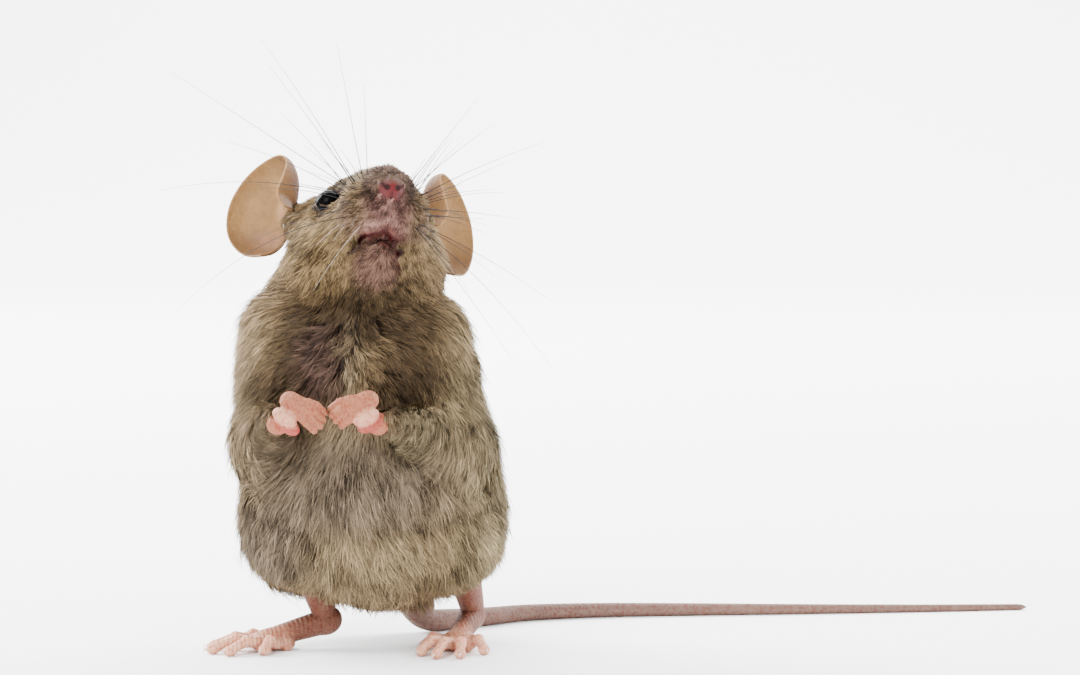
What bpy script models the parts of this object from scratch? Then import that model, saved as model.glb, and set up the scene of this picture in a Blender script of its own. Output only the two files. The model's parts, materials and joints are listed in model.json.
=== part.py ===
"""A house mouse, life size, standing on its hind feet with its nose up and its hands before its chest.

Run with: blender --background --python part.py

The body is modelled whole, from rounds of flesh that flow into each other, each grown by the depth of
its coat. Thin cuts then part it where a person would name its parts. The ears, eyes, whiskers and tail
are made on their own and set against it. The mouse faces -Y and its own left side is at +X. Lengths are
metres, written through mm(). The model is built about a point on the floor between the feet, and is
moved at the end so that the middle of its box stands on the origin.
"""

import math
from dataclasses import dataclass

import bmesh
import bpy
import numpy as np
from mathutils import Matrix, Vector

MM = 0.001
GAP = 0.3 * MM  # left between neighbouring pieces

# The coat's depth over the skin, by region.
COAT_TRUNK = 2.2 * MM
COAT_LIMB = 1.5 * MM
COAT_FACE = 0.5 * MM
COAT_BARE = 0.0

# The head's pose, in degrees, and the size of the eyes, ears, tail and whiskers.
NOSE_UP = 30
NOSE_TO_LEFT = 16
HEAD_ROLL = 6.5
EYE_RADIUS = 1.75 * MM
EYE_PLACE = (-10.6, 5.6, 2.6)  # back, out and up from the tip of the nose, in millimetres
EAR_DEPTH = 4.2 * MM
EAR_THICKNESS = 0.6 * MM
EAR_ROWS, EAR_COLUMNS = 3, 16
TAIL_ROOT_RADIUS = 1.75 * MM
TAIL_MID_RADIUS = 1.33 * MM
TAIL_TIP_RADIUS = 0.40 * MM
TAIL_SIDES, TAIL_STEPS = 10, 4
WHISKER_ROOT_RADIUS = 0.32 * MM
WHISKER_TIP_RADIUS = 0.25 * MM
WHISKER_SIDES, WHISKER_STEPS = 5, 4
WHISKER_DROOP = 0.05  # how far the tip hangs, as a share of the length

# Where the body is parted: back from the nose for the head, and on the body for the trunk.
NOSE_AT = -1.7
MUZZLE_AT = -8.6
NECK_AT = (0, 2, 42.5)
WAIST_AT = 26.5
RUMP_AT = (0, 8, 14)

# How finely each region is modelled, and the triangles kept for each shape and for the room about it.
BODY_VOXEL, LIMB_VOXEL, HEAD_VOXEL, DIGIT_VOXEL = 0.7 * MM, 0.5 * MM, 0.42 * MM, 0.26 * MM
HEAD_FACES, HEAD_ROOM_FACES, JAW_FACES = 1900, 700, 240
TRUNK_FACES, TRUNK_ROOM_FACES = 1300, 700
ARM_FACES, ARM_ROOM_FACES, HAND_FACES = 480, 300, 380
LEG_FACES, FOOT_FACES = 420, 520
MERGE = 0.002 * MM  # points nearer than this are made one
SHARP_DEGREES = 50


def mm(x, y, z):
    """A point or size given in millimetres, in metres."""
    return Vector((x, y, z)) * MM


def frame_of(origin, forward, dorsal):
    """A frame at origin: x along forward, y to the left and z along dorsal."""
    forward = Vector(forward).normalized()
    left = Vector(dorsal).cross(forward).normalized()
    up = forward.cross(left)
    turn = Matrix((forward, left, up)).transposed().to_4x4()
    return Matrix.Translation(origin) @ turn


def head_frame(nose):
    """The head's own frame, with its origin at the tip of the nose."""
    up, side, roll = (math.radians(a) for a in (NOSE_UP, NOSE_TO_LEFT, HEAD_ROLL))
    forward = Vector((math.sin(side) * math.cos(up), -math.cos(side) * math.cos(up), math.sin(up)))
    level_left = Vector((math.cos(side), math.sin(side), 0))
    level_dorsal = forward.cross(level_left)
    dorsal = Matrix.Rotation(-roll, 3, forward) @ level_dorsal
    return frame_of(nose, forward, dorsal)


BODY = Matrix.Identity(4)
HEAD = head_frame(mm(4.1, -13.5, 59.1))
HAND_RIGHT = frame_of(mm(-8.3, -17.2, 33.2), (0.84, -0.20, -0.52), (0.15, -0.95, 0.30))
HAND_LEFT = frame_of(mm(1.5, -17.2, 33.3), (-0.90, -0.20, -0.42), (-0.10, -0.95, 0.30))
FOOT_RIGHT = frame_of(mm(-4.6, 3.2, 0), (-0.95, -0.33, 0), (0, 0, 1))
FOOT_LEFT = frame_of(mm(13.4, 8.4, 0), (-0.23, -0.97, 0), (0, 0, 1))
EAR_RIGHT = frame_of(mm(-11.5, 0.2, 53.7), (0.75, -0.66, 0.0), (0.0, 0.24, 0.97))
EAR_LEFT = frame_of(mm(10.4, 5.0, 51.1), (-0.33, -0.94, 0.0), (0.0, 0.20, 0.98))


@dataclass(frozen=True)
class Round:
    """One round of flesh: an egg about start, or a tapered limb where it has an end.

    size holds an egg's three radii along its frame's axes, or a limb's radii at its start and end.
    """

    start: Vector
    size: tuple
    end: Vector = None
    coat: float = COAT_TRUNK
    blend: float = 4 * MM
    frame: Matrix = BODY

    def axes(self):
        """The frame's turn, as a 3 by 3 array whose columns are its axes."""
        return np.array(self.frame.to_3x3())

    def reach(self):
        """The centre and radius of a ball that holds the round."""
        if self.end is None:
            return np.array(self.frame @ self.start), max(self.size)
        first, last = self.frame @ self.start, self.frame @ self.end
        return np.array((first + last) / 2), (last - first).length / 2 + max(self.size)

    def distance(self, points):
        """About how far each point lies outside the round."""
        if self.end is None:
            local = (points - np.array(self.frame @ self.start)) @ self.axes()
            radii = np.array(self.size)
            near = np.linalg.norm(local / radii, axis=1)
            slope = np.linalg.norm(local / radii**2, axis=1)
            return near * (near - 1) / np.maximum(slope, 1e-6)
        first, last = np.array(self.frame @ self.start), np.array(self.frame @ self.end)
        along = last - first
        length2 = along @ along
        fall = self.size[0] - self.size[1]
        side2 = length2 - fall * fall
        start_to_point = points - first
        run = start_to_point @ along
        off = start_to_point * length2 - np.outer(run, along)
        off2 = np.einsum("ij,ij->i", off, off)
        beyond = run - length2
        run2, beyond2 = run * run * length2, beyond * beyond * length2
        bend = np.sign(fall) * fall * fall * off2
        past_end = np.sign(beyond) * side2 * beyond2 > bend
        past_start = np.sign(run) * side2 * run2 < bend
        body = (np.sqrt(off2 * side2 / length2) + run * fall) / length2 - self.size[0]
        end_cap = np.sqrt(off2 + beyond2) / length2 - self.size[1]
        start_cap = np.sqrt(off2 + run2) / length2 - self.size[0]
        return np.where(past_end, end_cap, np.where(past_start, start_cap, body))

    def add_to(self, bm):
        """Adds the round, grown by its coat, to a bmesh as closed shells."""
        turn = self.frame.to_3x3().to_4x4()
        ends = [(self.start, self.size if self.end is None else (self.size[0],) * 3)]
        if self.end is not None:
            ends.append((self.end, (self.size[1],) * 3))
        for centre, radii in ends:
            grown = Matrix.Diagonal([r + self.coat for r in radii]).to_4x4()
            place = Matrix.Translation(self.frame @ centre) @ turn @ grown
            bmesh.ops.create_icosphere(bm, subdivisions=2, radius=1, matrix=place)
        if self.end is None:
            return
        first, last = self.frame @ self.start, self.frame @ self.end
        along = (last - first).to_track_quat("Z", "Y").to_matrix().to_4x4()
        bmesh.ops.create_cone(
            bm,
            cap_ends=True,
            segments=12,
            radius1=self.size[0] + self.coat,
            radius2=self.size[1] + self.coat,
            depth=(last - first).length,
            matrix=Matrix.Translation((first + last) / 2) @ along,
        )


def egg(at, size, coat=COAT_TRUNK, blend=4.0, frame=BODY):
    """An egg of flesh: its centre and three radii in millimetres."""
    return Round(mm(*at), tuple(s * MM for s in size), None, coat, blend * MM, frame)


def limb(start, end, size, coat=COAT_LIMB, blend=2.0, frame=BODY):
    """A tapered limb of flesh: its two ends and the radius at each, in millimetres."""
    return Round(mm(*start), tuple(s * MM for s in size), mm(*end), coat, blend * MM, frame)


def trunk_rounds():
    """The belly, chest, neck, back and rump."""
    return [
        egg((0.6, 2.0, 21.4), (14.9, 13.0, 14.6), blend=4),
        egg((-1.0, 2.0, 33.5), (12.8, 11.5, 12.0), blend=2.5),
        egg((-1.9, 4.0, 43.0), (9.4, 9.2, 9.5), blend=4),
        egg((0.8, 8.5, 16.5), (11.5, 9.0, 9.6), blend=4),
        egg((-0.8, 7.5, 34.0), (10.2, 9.0, 12.0), blend=4),
        limb((1.6, 10.5, 9.8), (6.4, 14.2, 3.6), (4.2, 1.8), COAT_LIMB, 3),
    ]


def head_rounds():
    """The skull, cheeks, snout, whisker pads, lips and jaw, in the head's frame."""

    def face(at, size, coat=COAT_FACE, blend=1.2):
        return egg(at, size, coat, blend, HEAD)

    rounds = [
        face((-17.0, 0, 2.0), (8.2, 6.9, 6.4), 1.2 * MM, 3),
        limb((-9.5, 0, 1.2), (-3.1, 0, 0.75), (5.0, 2.6), COAT_FACE, 2, HEAD),
        face((-1.3, 0, 0.0), (1.5, 1.65, 1.5), 0.1 * MM),
    ]
    for side in (-1, 1):
        rounds += [
            face((-16.0, side * 4.3, -2.4), (6.6, 4.6, 5.2), 1.6 * MM, 3),
            face((-5.6, side * 2.6, -0.9), (3.4, 2.5, 2.8)),
            face((-5.3, side * 1.45, -2.9), (2.8, 1.65, 1.5), 0.3 * MM, 0.6),
            face((-10.8, side * 4.3, 2.7), (3.0, 1.9, 2.4), COAT_FACE, 1.5),
            limb((-17.5, side * 4.5, 2.5), (-19.8, side * 7.2, 4.4), (3.2, 2.1), 0.8 * MM, 2, HEAD),
        ]
    return rounds


def jaw_rounds():
    """The lower jaw, from the throat to the chin, in the head's frame."""
    return [limb((-15.0, 0, -5.3), (-7.1, 0, -5.5), (4.0, 1.25), COAT_FACE, 0.8, HEAD)]


def arm_rounds(side):
    """One upper arm and forearm, down to the wrist. side is 1 for the mouse's left."""
    wrist = Vector((3.6, -15.6, 30.6)) if side > 0 else Vector((-9.6, -15.6, 30.8))
    shoulder = (8.8 * side - 1.4, 0.5, 40.0)
    elbow = Vector((11.2 * side, -5.0, 26.6))
    middle = elbow.lerp(wrist, 0.62)
    return [
        limb(shoulder, elbow, (4.1, 3.6), COAT_TRUNK, 3),
        limb(elbow, middle, (3.4, 1.9), COAT_LIMB, 2.5),
        limb(middle, wrist, (1.8, 1.2), 0.5 * COAT_LIMB, 1.5),
    ]


def hand_rounds(side):
    """The palm, four bent fingers, the heel of the palm and its two bare pads."""
    frame = HAND_LEFT if side > 0 else HAND_RIGHT

    def palm(at, size, blend):
        return egg(at, size, COAT_BARE, blend, frame)

    rounds = [
        palm((0.3, 0, -0.25), (1.35, 1.25, 1.1), 0.6),
        palm((1.9, 0, 0.0), (1.7, 1.35, 0.95), 0.6),
        palm((0.2, side * 1.95, -0.5), (1.4, 1.0, 1.15), 0.25),
        palm((1.3, side * 3.7, -0.9), (1.1, 0.85, 0.95), 0.25),
        palm((0.3, side * 2.8, -1.5), (1.4, 1.5, 1.0), 0.5),
    ]
    for i in range(4):
        across = (i - 1.5) * 0.78
        reach = 4.4 - 0.22 * abs(i - 1.2) ** 1.5
        knuckle = (reach - 0.6, across * 1.06, 0.2)
        rounds += [
            limb((2.2, across * 0.85, 0.3), knuckle, (0.52, 0.48), COAT_BARE, 0.2, frame),
            limb(knuckle, (reach + 0.5, across * 1.1, -0.75), (0.47, 0.42), COAT_BARE, 0.18, frame),
        ]
    return rounds


def leg_rounds(side):
    """One thigh and shank, down to the heel."""
    foot = FOOT_LEFT if side > 0 else FOOT_RIGHT
    ankle = foot @ mm(0.9, 0, 4.4) / MM
    hip = Vector((9.7 * side + 0.8, 3.5, 15.4))
    knee = Vector((11.8, 0.0, 12.4)) if side > 0 else Vector((-7.8, -1.0, 13.0))
    return [
        egg(hip, (5.0, 7.6, 6.8), COAT_TRUNK, 4),
        limb(knee, ankle, (2.4, 1.55), COAT_BARE, 1.5),
        limb(hip, knee, (4.4, 3.0), COAT_LIMB, 3),
    ]


TOES = (  # start along the foot, across it, length, sideways lean; the first is the inner toe
    (7.6, -1.9, 3.3, -0.75),
    (9.0, -1.3, 5.6, -0.36),
    (9.5, -0.3, 6.4, -0.08),
    (9.2, 0.8, 5.9, 0.22),
    (7.6, 1.7, 4.6, 0.62),
)


def foot_rounds(side):
    """The raised heel, instep, sole pads and five toes of one hind foot."""
    frame = FOOT_LEFT if side > 0 else FOOT_RIGHT

    def bare(at, size, blend=0.3):
        return egg(at, size, COAT_BARE, blend, frame)

    rounds = [
        bare((0.2, 0, 3.5), (1.6, 1.35, 1.7), 1.0),
        limb((1.2, 0, 3.2), (8.6, 0, 1.4), (1.6, 1.2), COAT_BARE, 1.0, frame),
        bare((8.6, -0.1 * side, 1.2), (2.2, 2.2, 1.15), 0.8),
        bare((6.2, -side * 1.3, 1.0), (1.1, 0.8, 1.05)),
        bare((6.6, side * 1.4, 0.9), (1.0, 0.8, 0.95)),
        bare((9.4, -side * 1.7, 0.7), (0.9, 0.7, 0.75)),
        bare((9.4, side * 1.6, 0.7), (0.9, 0.7, 0.75)),
    ]
    for start, across, length, lean in TOES:
        root = Vector((start, side * across, 1.1))
        heading = Vector((math.cos(lean), math.sin(lean) * side, 0))
        knuckle = root + heading * length * 0.5 + Vector((0, 0, 0.55))
        tip = root + heading * length + Vector((0, 0, -0.45))
        rounds += [
            limb(root, knuckle, (0.76, 0.70), COAT_BARE, 0.3, frame),
            limb(knuckle, tip, (0.68, 0.52), COAT_BARE, 0.25, frame),
            bare(tip - heading * 0.4, (0.85, 0.72, 0.65), 0.25),
        ]
    return rounds


# The ear's rim, from its root on the cheek by the eye, over the top and down to its root behind the
# cheek: towards the front edge, up, and out of the cup, in millimetres from the middle of the notch.
EAR_RIM = (
    (0.9, 2.4, -0.6),
    (0.2, 4.0, 0.2),
    (0.8, 6.3, 0.1),
    (0.5, 8.1, -0.4),
    (-1.1, 8.9, -0.6),
    (-3.9, 7.8, -0.5),
    (-6.7, 5.5, -0.3),
    (-8.3, 2.4, 0.0),
    (-8.1, -0.7, 0.2),
    (-6.4, -2.9, 0.3),
    (-3.8, -4.1, 0.3),
    (-1.3, -3.9, 0.2),
)
EAR_BOTTOM = (-1.3, 0.7)  # the cup's deepest point, in the plane of the rim

# Each long whisker: its turn from straight ahead towards its own side, its rise, and its length in
# millimetres; then its root on the pad, back from the nose, out and up.
WHISKERS_RIGHT = ((64, 34, 30), (56, 55, 23), (72, -17, 24), (26, 72, 19))
WHISKERS_LEFT = ((38, 44, 19), (66, 22, 20), (56, -40, 27), (78, -2, 15))
WHISKER_ROOTS = ((-5.4, 3.6, 0.9), (-4.4, 3.2, 1.4), (-5.6, 3.8, -1.2), (-4.6, 3.6, 0.2))

# The tail's centre line on the floor, root to tip, and its length from the root at each joint.
TAIL_ROUTE = ((7.0, 14.6), (11.3, 17.9), (15.4, 20.9), (20.6, 24.8), (30.0, 27.6), (41.5, 29.0),
              (52.5, 29.9), (63.5, 31.0), (76.0, 32.4), (88.4, 34.2))
TAIL_CUTS = (0.17, 0.36, 0.57, 0.79)


def smooth_route(points, share):
    """The place at a share, 0 to 1, of a smooth curve through the points."""
    place = min(max(share, 0.0), 1.0) * (len(points) - 1)
    i = min(int(place), len(points) - 2)
    t = place - i
    p = [Vector(points[min(max(k, 0), len(points) - 1)]) for k in range(i - 1, i + 3)]
    bend = (p[2] - p[0]) * t + (2 * p[0] - 5 * p[1] + 4 * p[2] - p[3]) * t**2
    return p[1] + 0.5 * (bend + (3 * (p[1] - p[2]) + p[3] - p[0]) * t**3)


def flesh_distance(points, rounds, grow=0.0):
    """How far each point lies outside the blended body, coat included."""
    total = np.full(len(points), 1.0)
    for part in rounds:
        centre, radius = part.reach()
        margin = part.coat + grow + part.blend + 3 * MM
        near = np.linalg.norm(points - centre, axis=1) < radius + margin
        if not near.any():
            continue
        own = part.distance(points[near]) - part.coat - grow
        other = total[near]
        overlap = np.maximum(part.blend - np.abs(own - other), 0) / part.blend
        total[near] = np.minimum(own, other) - overlap**2 * part.blend / 4
    return total


def settle_on(points, rounds, grow, rounds_of_newton=5):
    """Moves points onto the blended surface along its slope."""
    step = 0.02 * MM
    corners = np.array([(1, -1, -1), (-1, -1, 1), (-1, 1, -1), (1, 1, 1)], float)
    for _ in range(rounds_of_newton):
        samples = [flesh_distance(points + step * c, rounds, grow) for c in corners]
        slope = sum(s[:, None] * c for s, c in zip(samples, corners)) / (4 * step)
        here = sum(samples) / 4
        square = np.maximum(np.einsum("ij,ij->i", slope, slope), 0.2)
        move = np.clip(here / square, -0.6 * MM, 0.6 * MM)
        points = points - slope * move[:, None]
    return points


def new_object(name, mesh, material=None):
    """Puts a mesh in the scene as a named object."""
    obj = bpy.data.objects.new(name, mesh)
    bpy.context.scene.collection.objects.link(obj)
    if material is not None:
        mesh.materials.clear()
        mesh.materials.append(material)
    return obj


def bare_mesh(name, bm):
    """The bmesh as a mesh, with the bmesh freed."""
    mesh = bpy.data.meshes.new(name)
    bm.to_mesh(mesh)
    bm.free()
    return mesh


def baked(obj):
    """A new mesh of the object with its modifiers applied, and the object taken away."""
    bpy.context.view_layer.update()
    graph = bpy.context.evaluated_depsgraph_get()
    mesh = bpy.data.meshes.new_from_object(obj.evaluated_get(graph))
    bpy.data.objects.remove(obj)
    return mesh


def mesh_points(mesh):
    """The mesh's points as an array."""
    flat = np.empty(len(mesh.vertices) * 3)
    mesh.vertices.foreach_get("co", flat)
    return flat.reshape(-1, 3)


def clay(rounds, voxel, faces, grow=0.0):
    """One closed mesh of the rounds flowing into each other, grown by a distance."""
    bm = bmesh.new()
    for part in rounds:
        part.add_to(bm)
    obj = new_object("clay", bare_mesh("clay", bm))
    remesh = obj.modifiers.new("Remesh", "REMESH")
    remesh.mode = "VOXEL"
    remesh.voxel_size = voxel
    mesh = baked(obj)
    mesh.vertices.foreach_set("co", settle_on(mesh_points(mesh), rounds, grow).ravel())
    obj = new_object("clay", mesh)
    even = obj.modifiers.new("Even", "SMOOTH")
    even.factor = 0.5
    even.iterations = 2
    mesh = baked(obj)
    mesh.vertices.foreach_set("co", settle_on(mesh_points(mesh), rounds, grow, 2).ravel())
    obj = new_object("clay", mesh)
    thin = obj.modifiers.new("Thin", "DECIMATE")
    thin.ratio = min(1.0, faces / (2 * len(mesh.polygons)))
    return baked(obj)


def combined(mesh, others, operation="DIFFERENCE"):
    """The mesh with others cut from it, or joined to it."""
    obj = new_object("combined", mesh)
    tools = [new_object("tool", other.copy()) for other in others]
    for tool in tools:
        boolean = obj.modifiers.new("Boolean", "BOOLEAN")
        boolean.operation = operation
        boolean.solver = "EXACT"
        boolean.object = tool
    mesh = baked(obj)
    for tool in tools:
        bpy.data.objects.remove(tool)
    return only_largest(mesh)


def only_largest(mesh):
    """The mesh's largest connected piece, with its slivers collapsed."""
    bm = bmesh.new()
    bm.from_mesh(mesh)
    bmesh.ops.remove_doubles(bm, verts=bm.verts, dist=MERGE)
    bmesh.ops.dissolve_degenerate(bm, edges=bm.edges, dist=MERGE)
    bmesh.ops.triangulate(bm, faces=bm.faces)
    left = set(bm.verts)
    groups = []
    while left:
        group, edge = set(), {next(iter(left))}
        while edge:
            group |= edge
            edge = {e.other_vert(v) for v in edge for e in v.link_edges} - group
        left -= group
        groups.append(group)
    groups.sort(key=len)
    strays = [v for group in groups[:-1] for v in group]
    bmesh.ops.delete(bm, geom=strays, context="VERTS")
    return bare_mesh(mesh.name, bm)


def side_of(mesh, point, normal):
    """The part of a mesh behind a plane, closed by a flat face where it was cut."""
    bm = bmesh.new()
    bm.from_mesh(mesh)
    cut = bmesh.ops.bisect_plane(
        bm, geom=[*bm.verts, *bm.edges, *bm.faces], plane_co=point, plane_no=normal, clear_outer=True
    )
    rim = [e for e in cut["geom_cut"] if isinstance(e, bmesh.types.BMEdge)]
    bmesh.ops.triangle_fill(bm, use_beauty=True, use_dissolve=True, edges=rim, normal=normal)
    bmesh.ops.recalc_face_normals(bm, faces=bm.faces)
    return only_largest(bare_mesh(mesh.name, bm))


def sliced(mesh, point, normal):
    """The two parts of a mesh behind and before a plane, a gap apart."""
    normal = Vector(normal).normalized()
    shift = normal * GAP / 2
    return side_of(mesh, point - shift, normal), side_of(mesh, point + shift, -normal)


def ball(centre, radii, frame=BODY, detail=3):
    """An egg-shaped mesh."""
    bm = bmesh.new()
    place = Matrix.Translation(frame @ centre) @ frame.to_3x3().to_4x4() @ Matrix.Diagonal(radii).to_4x4()
    bmesh.ops.create_icosphere(bm, subdivisions=detail, radius=1, matrix=place)
    return bare_mesh("ball", bm)


def lofted(rings):
    """One closed tube through rings of points."""
    bm = bmesh.new()
    before = None
    for ring in rings:
        verts = [bm.verts.new(point) for point in ring]
        edges = [bm.edges.new(pair) for pair in zip(verts, verts[1:] + verts[:1])]
        if before is None:
            bm.faces.new(verts)
        else:
            bmesh.ops.bridge_loops(bm, edges=before + edges)
        before = edges
    bm.faces.new(verts)
    bmesh.ops.recalc_face_normals(bm, faces=bm.faces)
    bmesh.ops.triangulate(bm, faces=bm.faces)
    return bare_mesh("tube", bm)


def ring_about(centre, along, radius, sides):
    """A ring of points round a centre line, with a flat side down."""
    across = Vector((along.y, -along.x, 0)).normalized()
    up = across.cross(along).normalized()
    turns = [math.tau * (k + 0.5) / sides for k in range(sides)]
    return [centre + radius * (across * math.sin(a) - up * math.cos(a)) for a in turns]


def tail_radius(share):
    """The tail's radius at a share of its length, thick at the root and fine at the tip."""
    if share < 0.2:
        return TAIL_ROOT_RADIUS + (TAIL_MID_RADIUS - TAIL_ROOT_RADIUS) * share / 0.2
    return TAIL_MID_RADIUS + (TAIL_TIP_RADIUS - TAIL_MID_RADIUS) * (share - 0.2) / 0.8


def tail_ring(share):
    """One ring of the tail, resting on the floor."""
    centre = smooth_route(TAIL_ROUTE, share) * MM
    ahead = smooth_route(TAIL_ROUTE, share + 0.01) - smooth_route(TAIL_ROUTE, share - 0.01)
    radius = tail_radius(share)
    height = radius * math.cos(math.pi / TAIL_SIDES)
    return ring_about(Vector((*centre, height)), Vector((*ahead, 0)).normalized(), radius, TAIL_SIDES)


def tail_lengths():
    """The tail as closed lengths, root first."""
    total = sum(
        (Vector(b) - Vector(a)).length for a, b in zip(TAIL_ROUTE, TAIL_ROUTE[1:])
    ) * MM
    gap = GAP / total
    joints = (0.0, *TAIL_CUTS, 1.0)
    lengths = []
    for start, end in zip(joints, joints[1:]):
        first = start + (gap / 2 if start else 0)
        last = end - (gap / 2 if end < 1 else 0)
        stations = [first + (last - first) * i / TAIL_STEPS for i in range(TAIL_STEPS + 1)]
        lengths.append(lofted([tail_ring(share) for share in stations]))
    return lengths


def ear_mesh(side):
    """One ear: a thin cup, open at the notch where it meets the cheek. side is 1 for the left."""
    frame = EAR_LEFT if side > 0 else EAR_RIGHT
    bottom = Vector((EAR_BOTTOM[0], EAR_BOTTOM[1], 0))
    bm = bmesh.new()
    rows = []
    for row in range(EAR_ROWS + 1):
        climb = (0.12 + 0.88 * row / EAR_ROWS) * math.pi / 2
        verts = []
        for column in range(EAR_COLUMNS + 1):
            front, up, out = smooth_route(EAR_RIM, column / EAR_COLUMNS)
            flat = bottom.lerp(Vector((front, up, 0)), math.sin(climb))
            depth = out * math.sin(climb) ** 2 * MM - EAR_DEPTH * math.cos(climb)
            verts.append(bm.verts.new(frame @ Vector((flat.x * MM, side * depth, flat.y * MM))))
        if rows:
            for i in range(EAR_COLUMNS):
                bm.faces.new((rows[-1][i], rows[-1][i + 1], verts[i + 1], verts[i]))
        rows.append(verts)
    bmesh.ops.recalc_face_normals(bm, faces=bm.faces)
    obj = new_object("ear", bare_mesh("ear", bm))
    wall = obj.modifiers.new("Wall", "SOLIDIFY")
    wall.thickness = EAR_THICKNESS
    wall.offset = 0
    wall.use_even_offset = True
    return baked(obj)


def whisker(root, heading, length, grow):
    """One long whisker, drooping a little towards its tip."""
    rings = []
    for i in range(WHISKER_STEPS + 1):
        share = i / WHISKER_STEPS
        centre = root + heading * length * share - Vector((0, 0, WHISKER_DROOP * length * share**2))
        radius = WHISKER_ROOT_RADIUS + (WHISKER_TIP_RADIUS - WHISKER_ROOT_RADIUS) * share
        rings.append(ring_about(centre, heading, radius + grow, WHISKER_SIDES))
    return lofted(rings)


def whisker_pad(side, grow=0.0):
    """The pad at one side of the muzzle, with its longest whiskers."""
    pad = ball(mm(-5.4, side * 3.5, -0.4), [r * MM + grow for r in (2.3, 1.9, 2.0)], HEAD, 1)
    rods = []
    for (turn, rise, length), (back, out, up) in zip(
        WHISKERS_LEFT if side > 0 else WHISKERS_RIGHT, WHISKER_ROOTS
    ):
        turn, rise = math.radians(turn) * side, math.radians(rise)
        level = Vector((math.sin(turn), -math.cos(turn), 0)) * math.cos(rise)
        heading = level + Vector((0, 0, math.sin(rise)))
        rods.append(whisker(HEAD @ mm(back, out * side, up), heading, length * MM, grow))
    return combined(pad, rods, "UNION")


COLOURS = {
    "fur": (0.235, 0.185, 0.125),
    "belly fur": (0.32, 0.26, 0.19),
    "ear skin": (0.46, 0.28, 0.16),
    "bare skin": (0.60, 0.36, 0.29),
    "nose": (0.42, 0.10, 0.09),
    "tail": (0.26, 0.16, 0.125),
    "eye": (0.006, 0.005, 0.005),
}

# The most triangles that a piece of each kind keeps.
MOST_FACES = {
    "head": 860,
    "muzzle": 560,
    "chest": 450,
    "neck": 390,
    "belly": 470,
    "rump": 370,
    "upper_arm": 330,
    "thigh": 300,
}


def eased(mesh, faces):
    """The mesh with no more than a number of triangles."""
    if len(mesh.polygons) <= faces:
        return mesh
    obj = new_object("eased", mesh)
    thin = obj.modifiers.new("Thin", "DECIMATE")
    thin.ratio = faces / len(mesh.polygons)
    return only_largest(baked(obj))


def finished(name, mesh, colour, roughness=0.8):
    """Puts a finished piece in the scene with its own material."""
    kind = name.removesuffix("_left").removesuffix("_right")
    mesh = eased(mesh, MOST_FACES.get(kind, len(mesh.polygons)))
    material = bpy.data.materials.new(name)
    material.use_nodes = True
    shader = material.node_tree.nodes["Principled BSDF"]
    shader.inputs["Base Color"].default_value = (*COLOURS[colour], 1)
    shader.inputs["Roughness"].default_value = roughness
    shader.inputs["Metallic"].default_value = 0
    mesh.name = name
    mesh.shade_smooth()
    mesh.set_sharp_from_angle(angle=math.radians(SHARP_DEGREES))
    return new_object(name, mesh, material)


SIDES = {"right": -1, "left": 1}


def build_head(pieces):
    """The head, muzzle, nose, jaw, eyes, ears and whisker pads. Returns the shape they leave no room in."""
    head = clay(head_rounds(), HEAD_VOXEL, HEAD_FACES)
    filled = clay(head_rounds() + jaw_rounds(), HEAD_VOXEL, HEAD_ROOM_FACES, GAP)
    holes = [clay(jaw_rounds(), HEAD_VOXEL, JAW_FACES, GAP)]
    for side, sign in SIDES.items():
        eye = mm(EYE_PLACE[0], sign * EYE_PLACE[1], EYE_PLACE[2])
        pieces[f"eye_{side}"] = ball(eye, (EYE_RADIUS,) * 3, HEAD, 2), "eye"
        holes.append(ball(eye, (EYE_RADIUS + GAP,) * 3, HEAD, 2))
        holes.append(whisker_pad(sign, GAP))
        pieces[f"whisker_pad_{side}"] = whisker_pad(sign), "fur"
        pieces[f"ear_{side}"] = combined(ear_mesh(sign), [filled]), "ear skin"
    head = combined(head, holes)
    ahead = HEAD.to_3x3() @ Vector((1, 0, 0))
    head, muzzle = sliced(head, HEAD @ mm(MUZZLE_AT, 0, 0), ahead)
    muzzle, nose = sliced(muzzle, HEAD @ mm(NOSE_AT, 0, 0), ahead)
    pieces["head"] = head, "fur"
    pieces["muzzle"] = muzzle, "fur"
    pieces["nose"] = nose, "nose"
    pieces["lower_jaw"] = clay(jaw_rounds(), HEAD_VOXEL, JAW_FACES), "fur"
    return filled


def bend_at(before, joint, after):
    """The way a limb runs through a joint, halfway between its two bones."""
    return (joint - before).normalized() + (after - joint).normalized()


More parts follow.
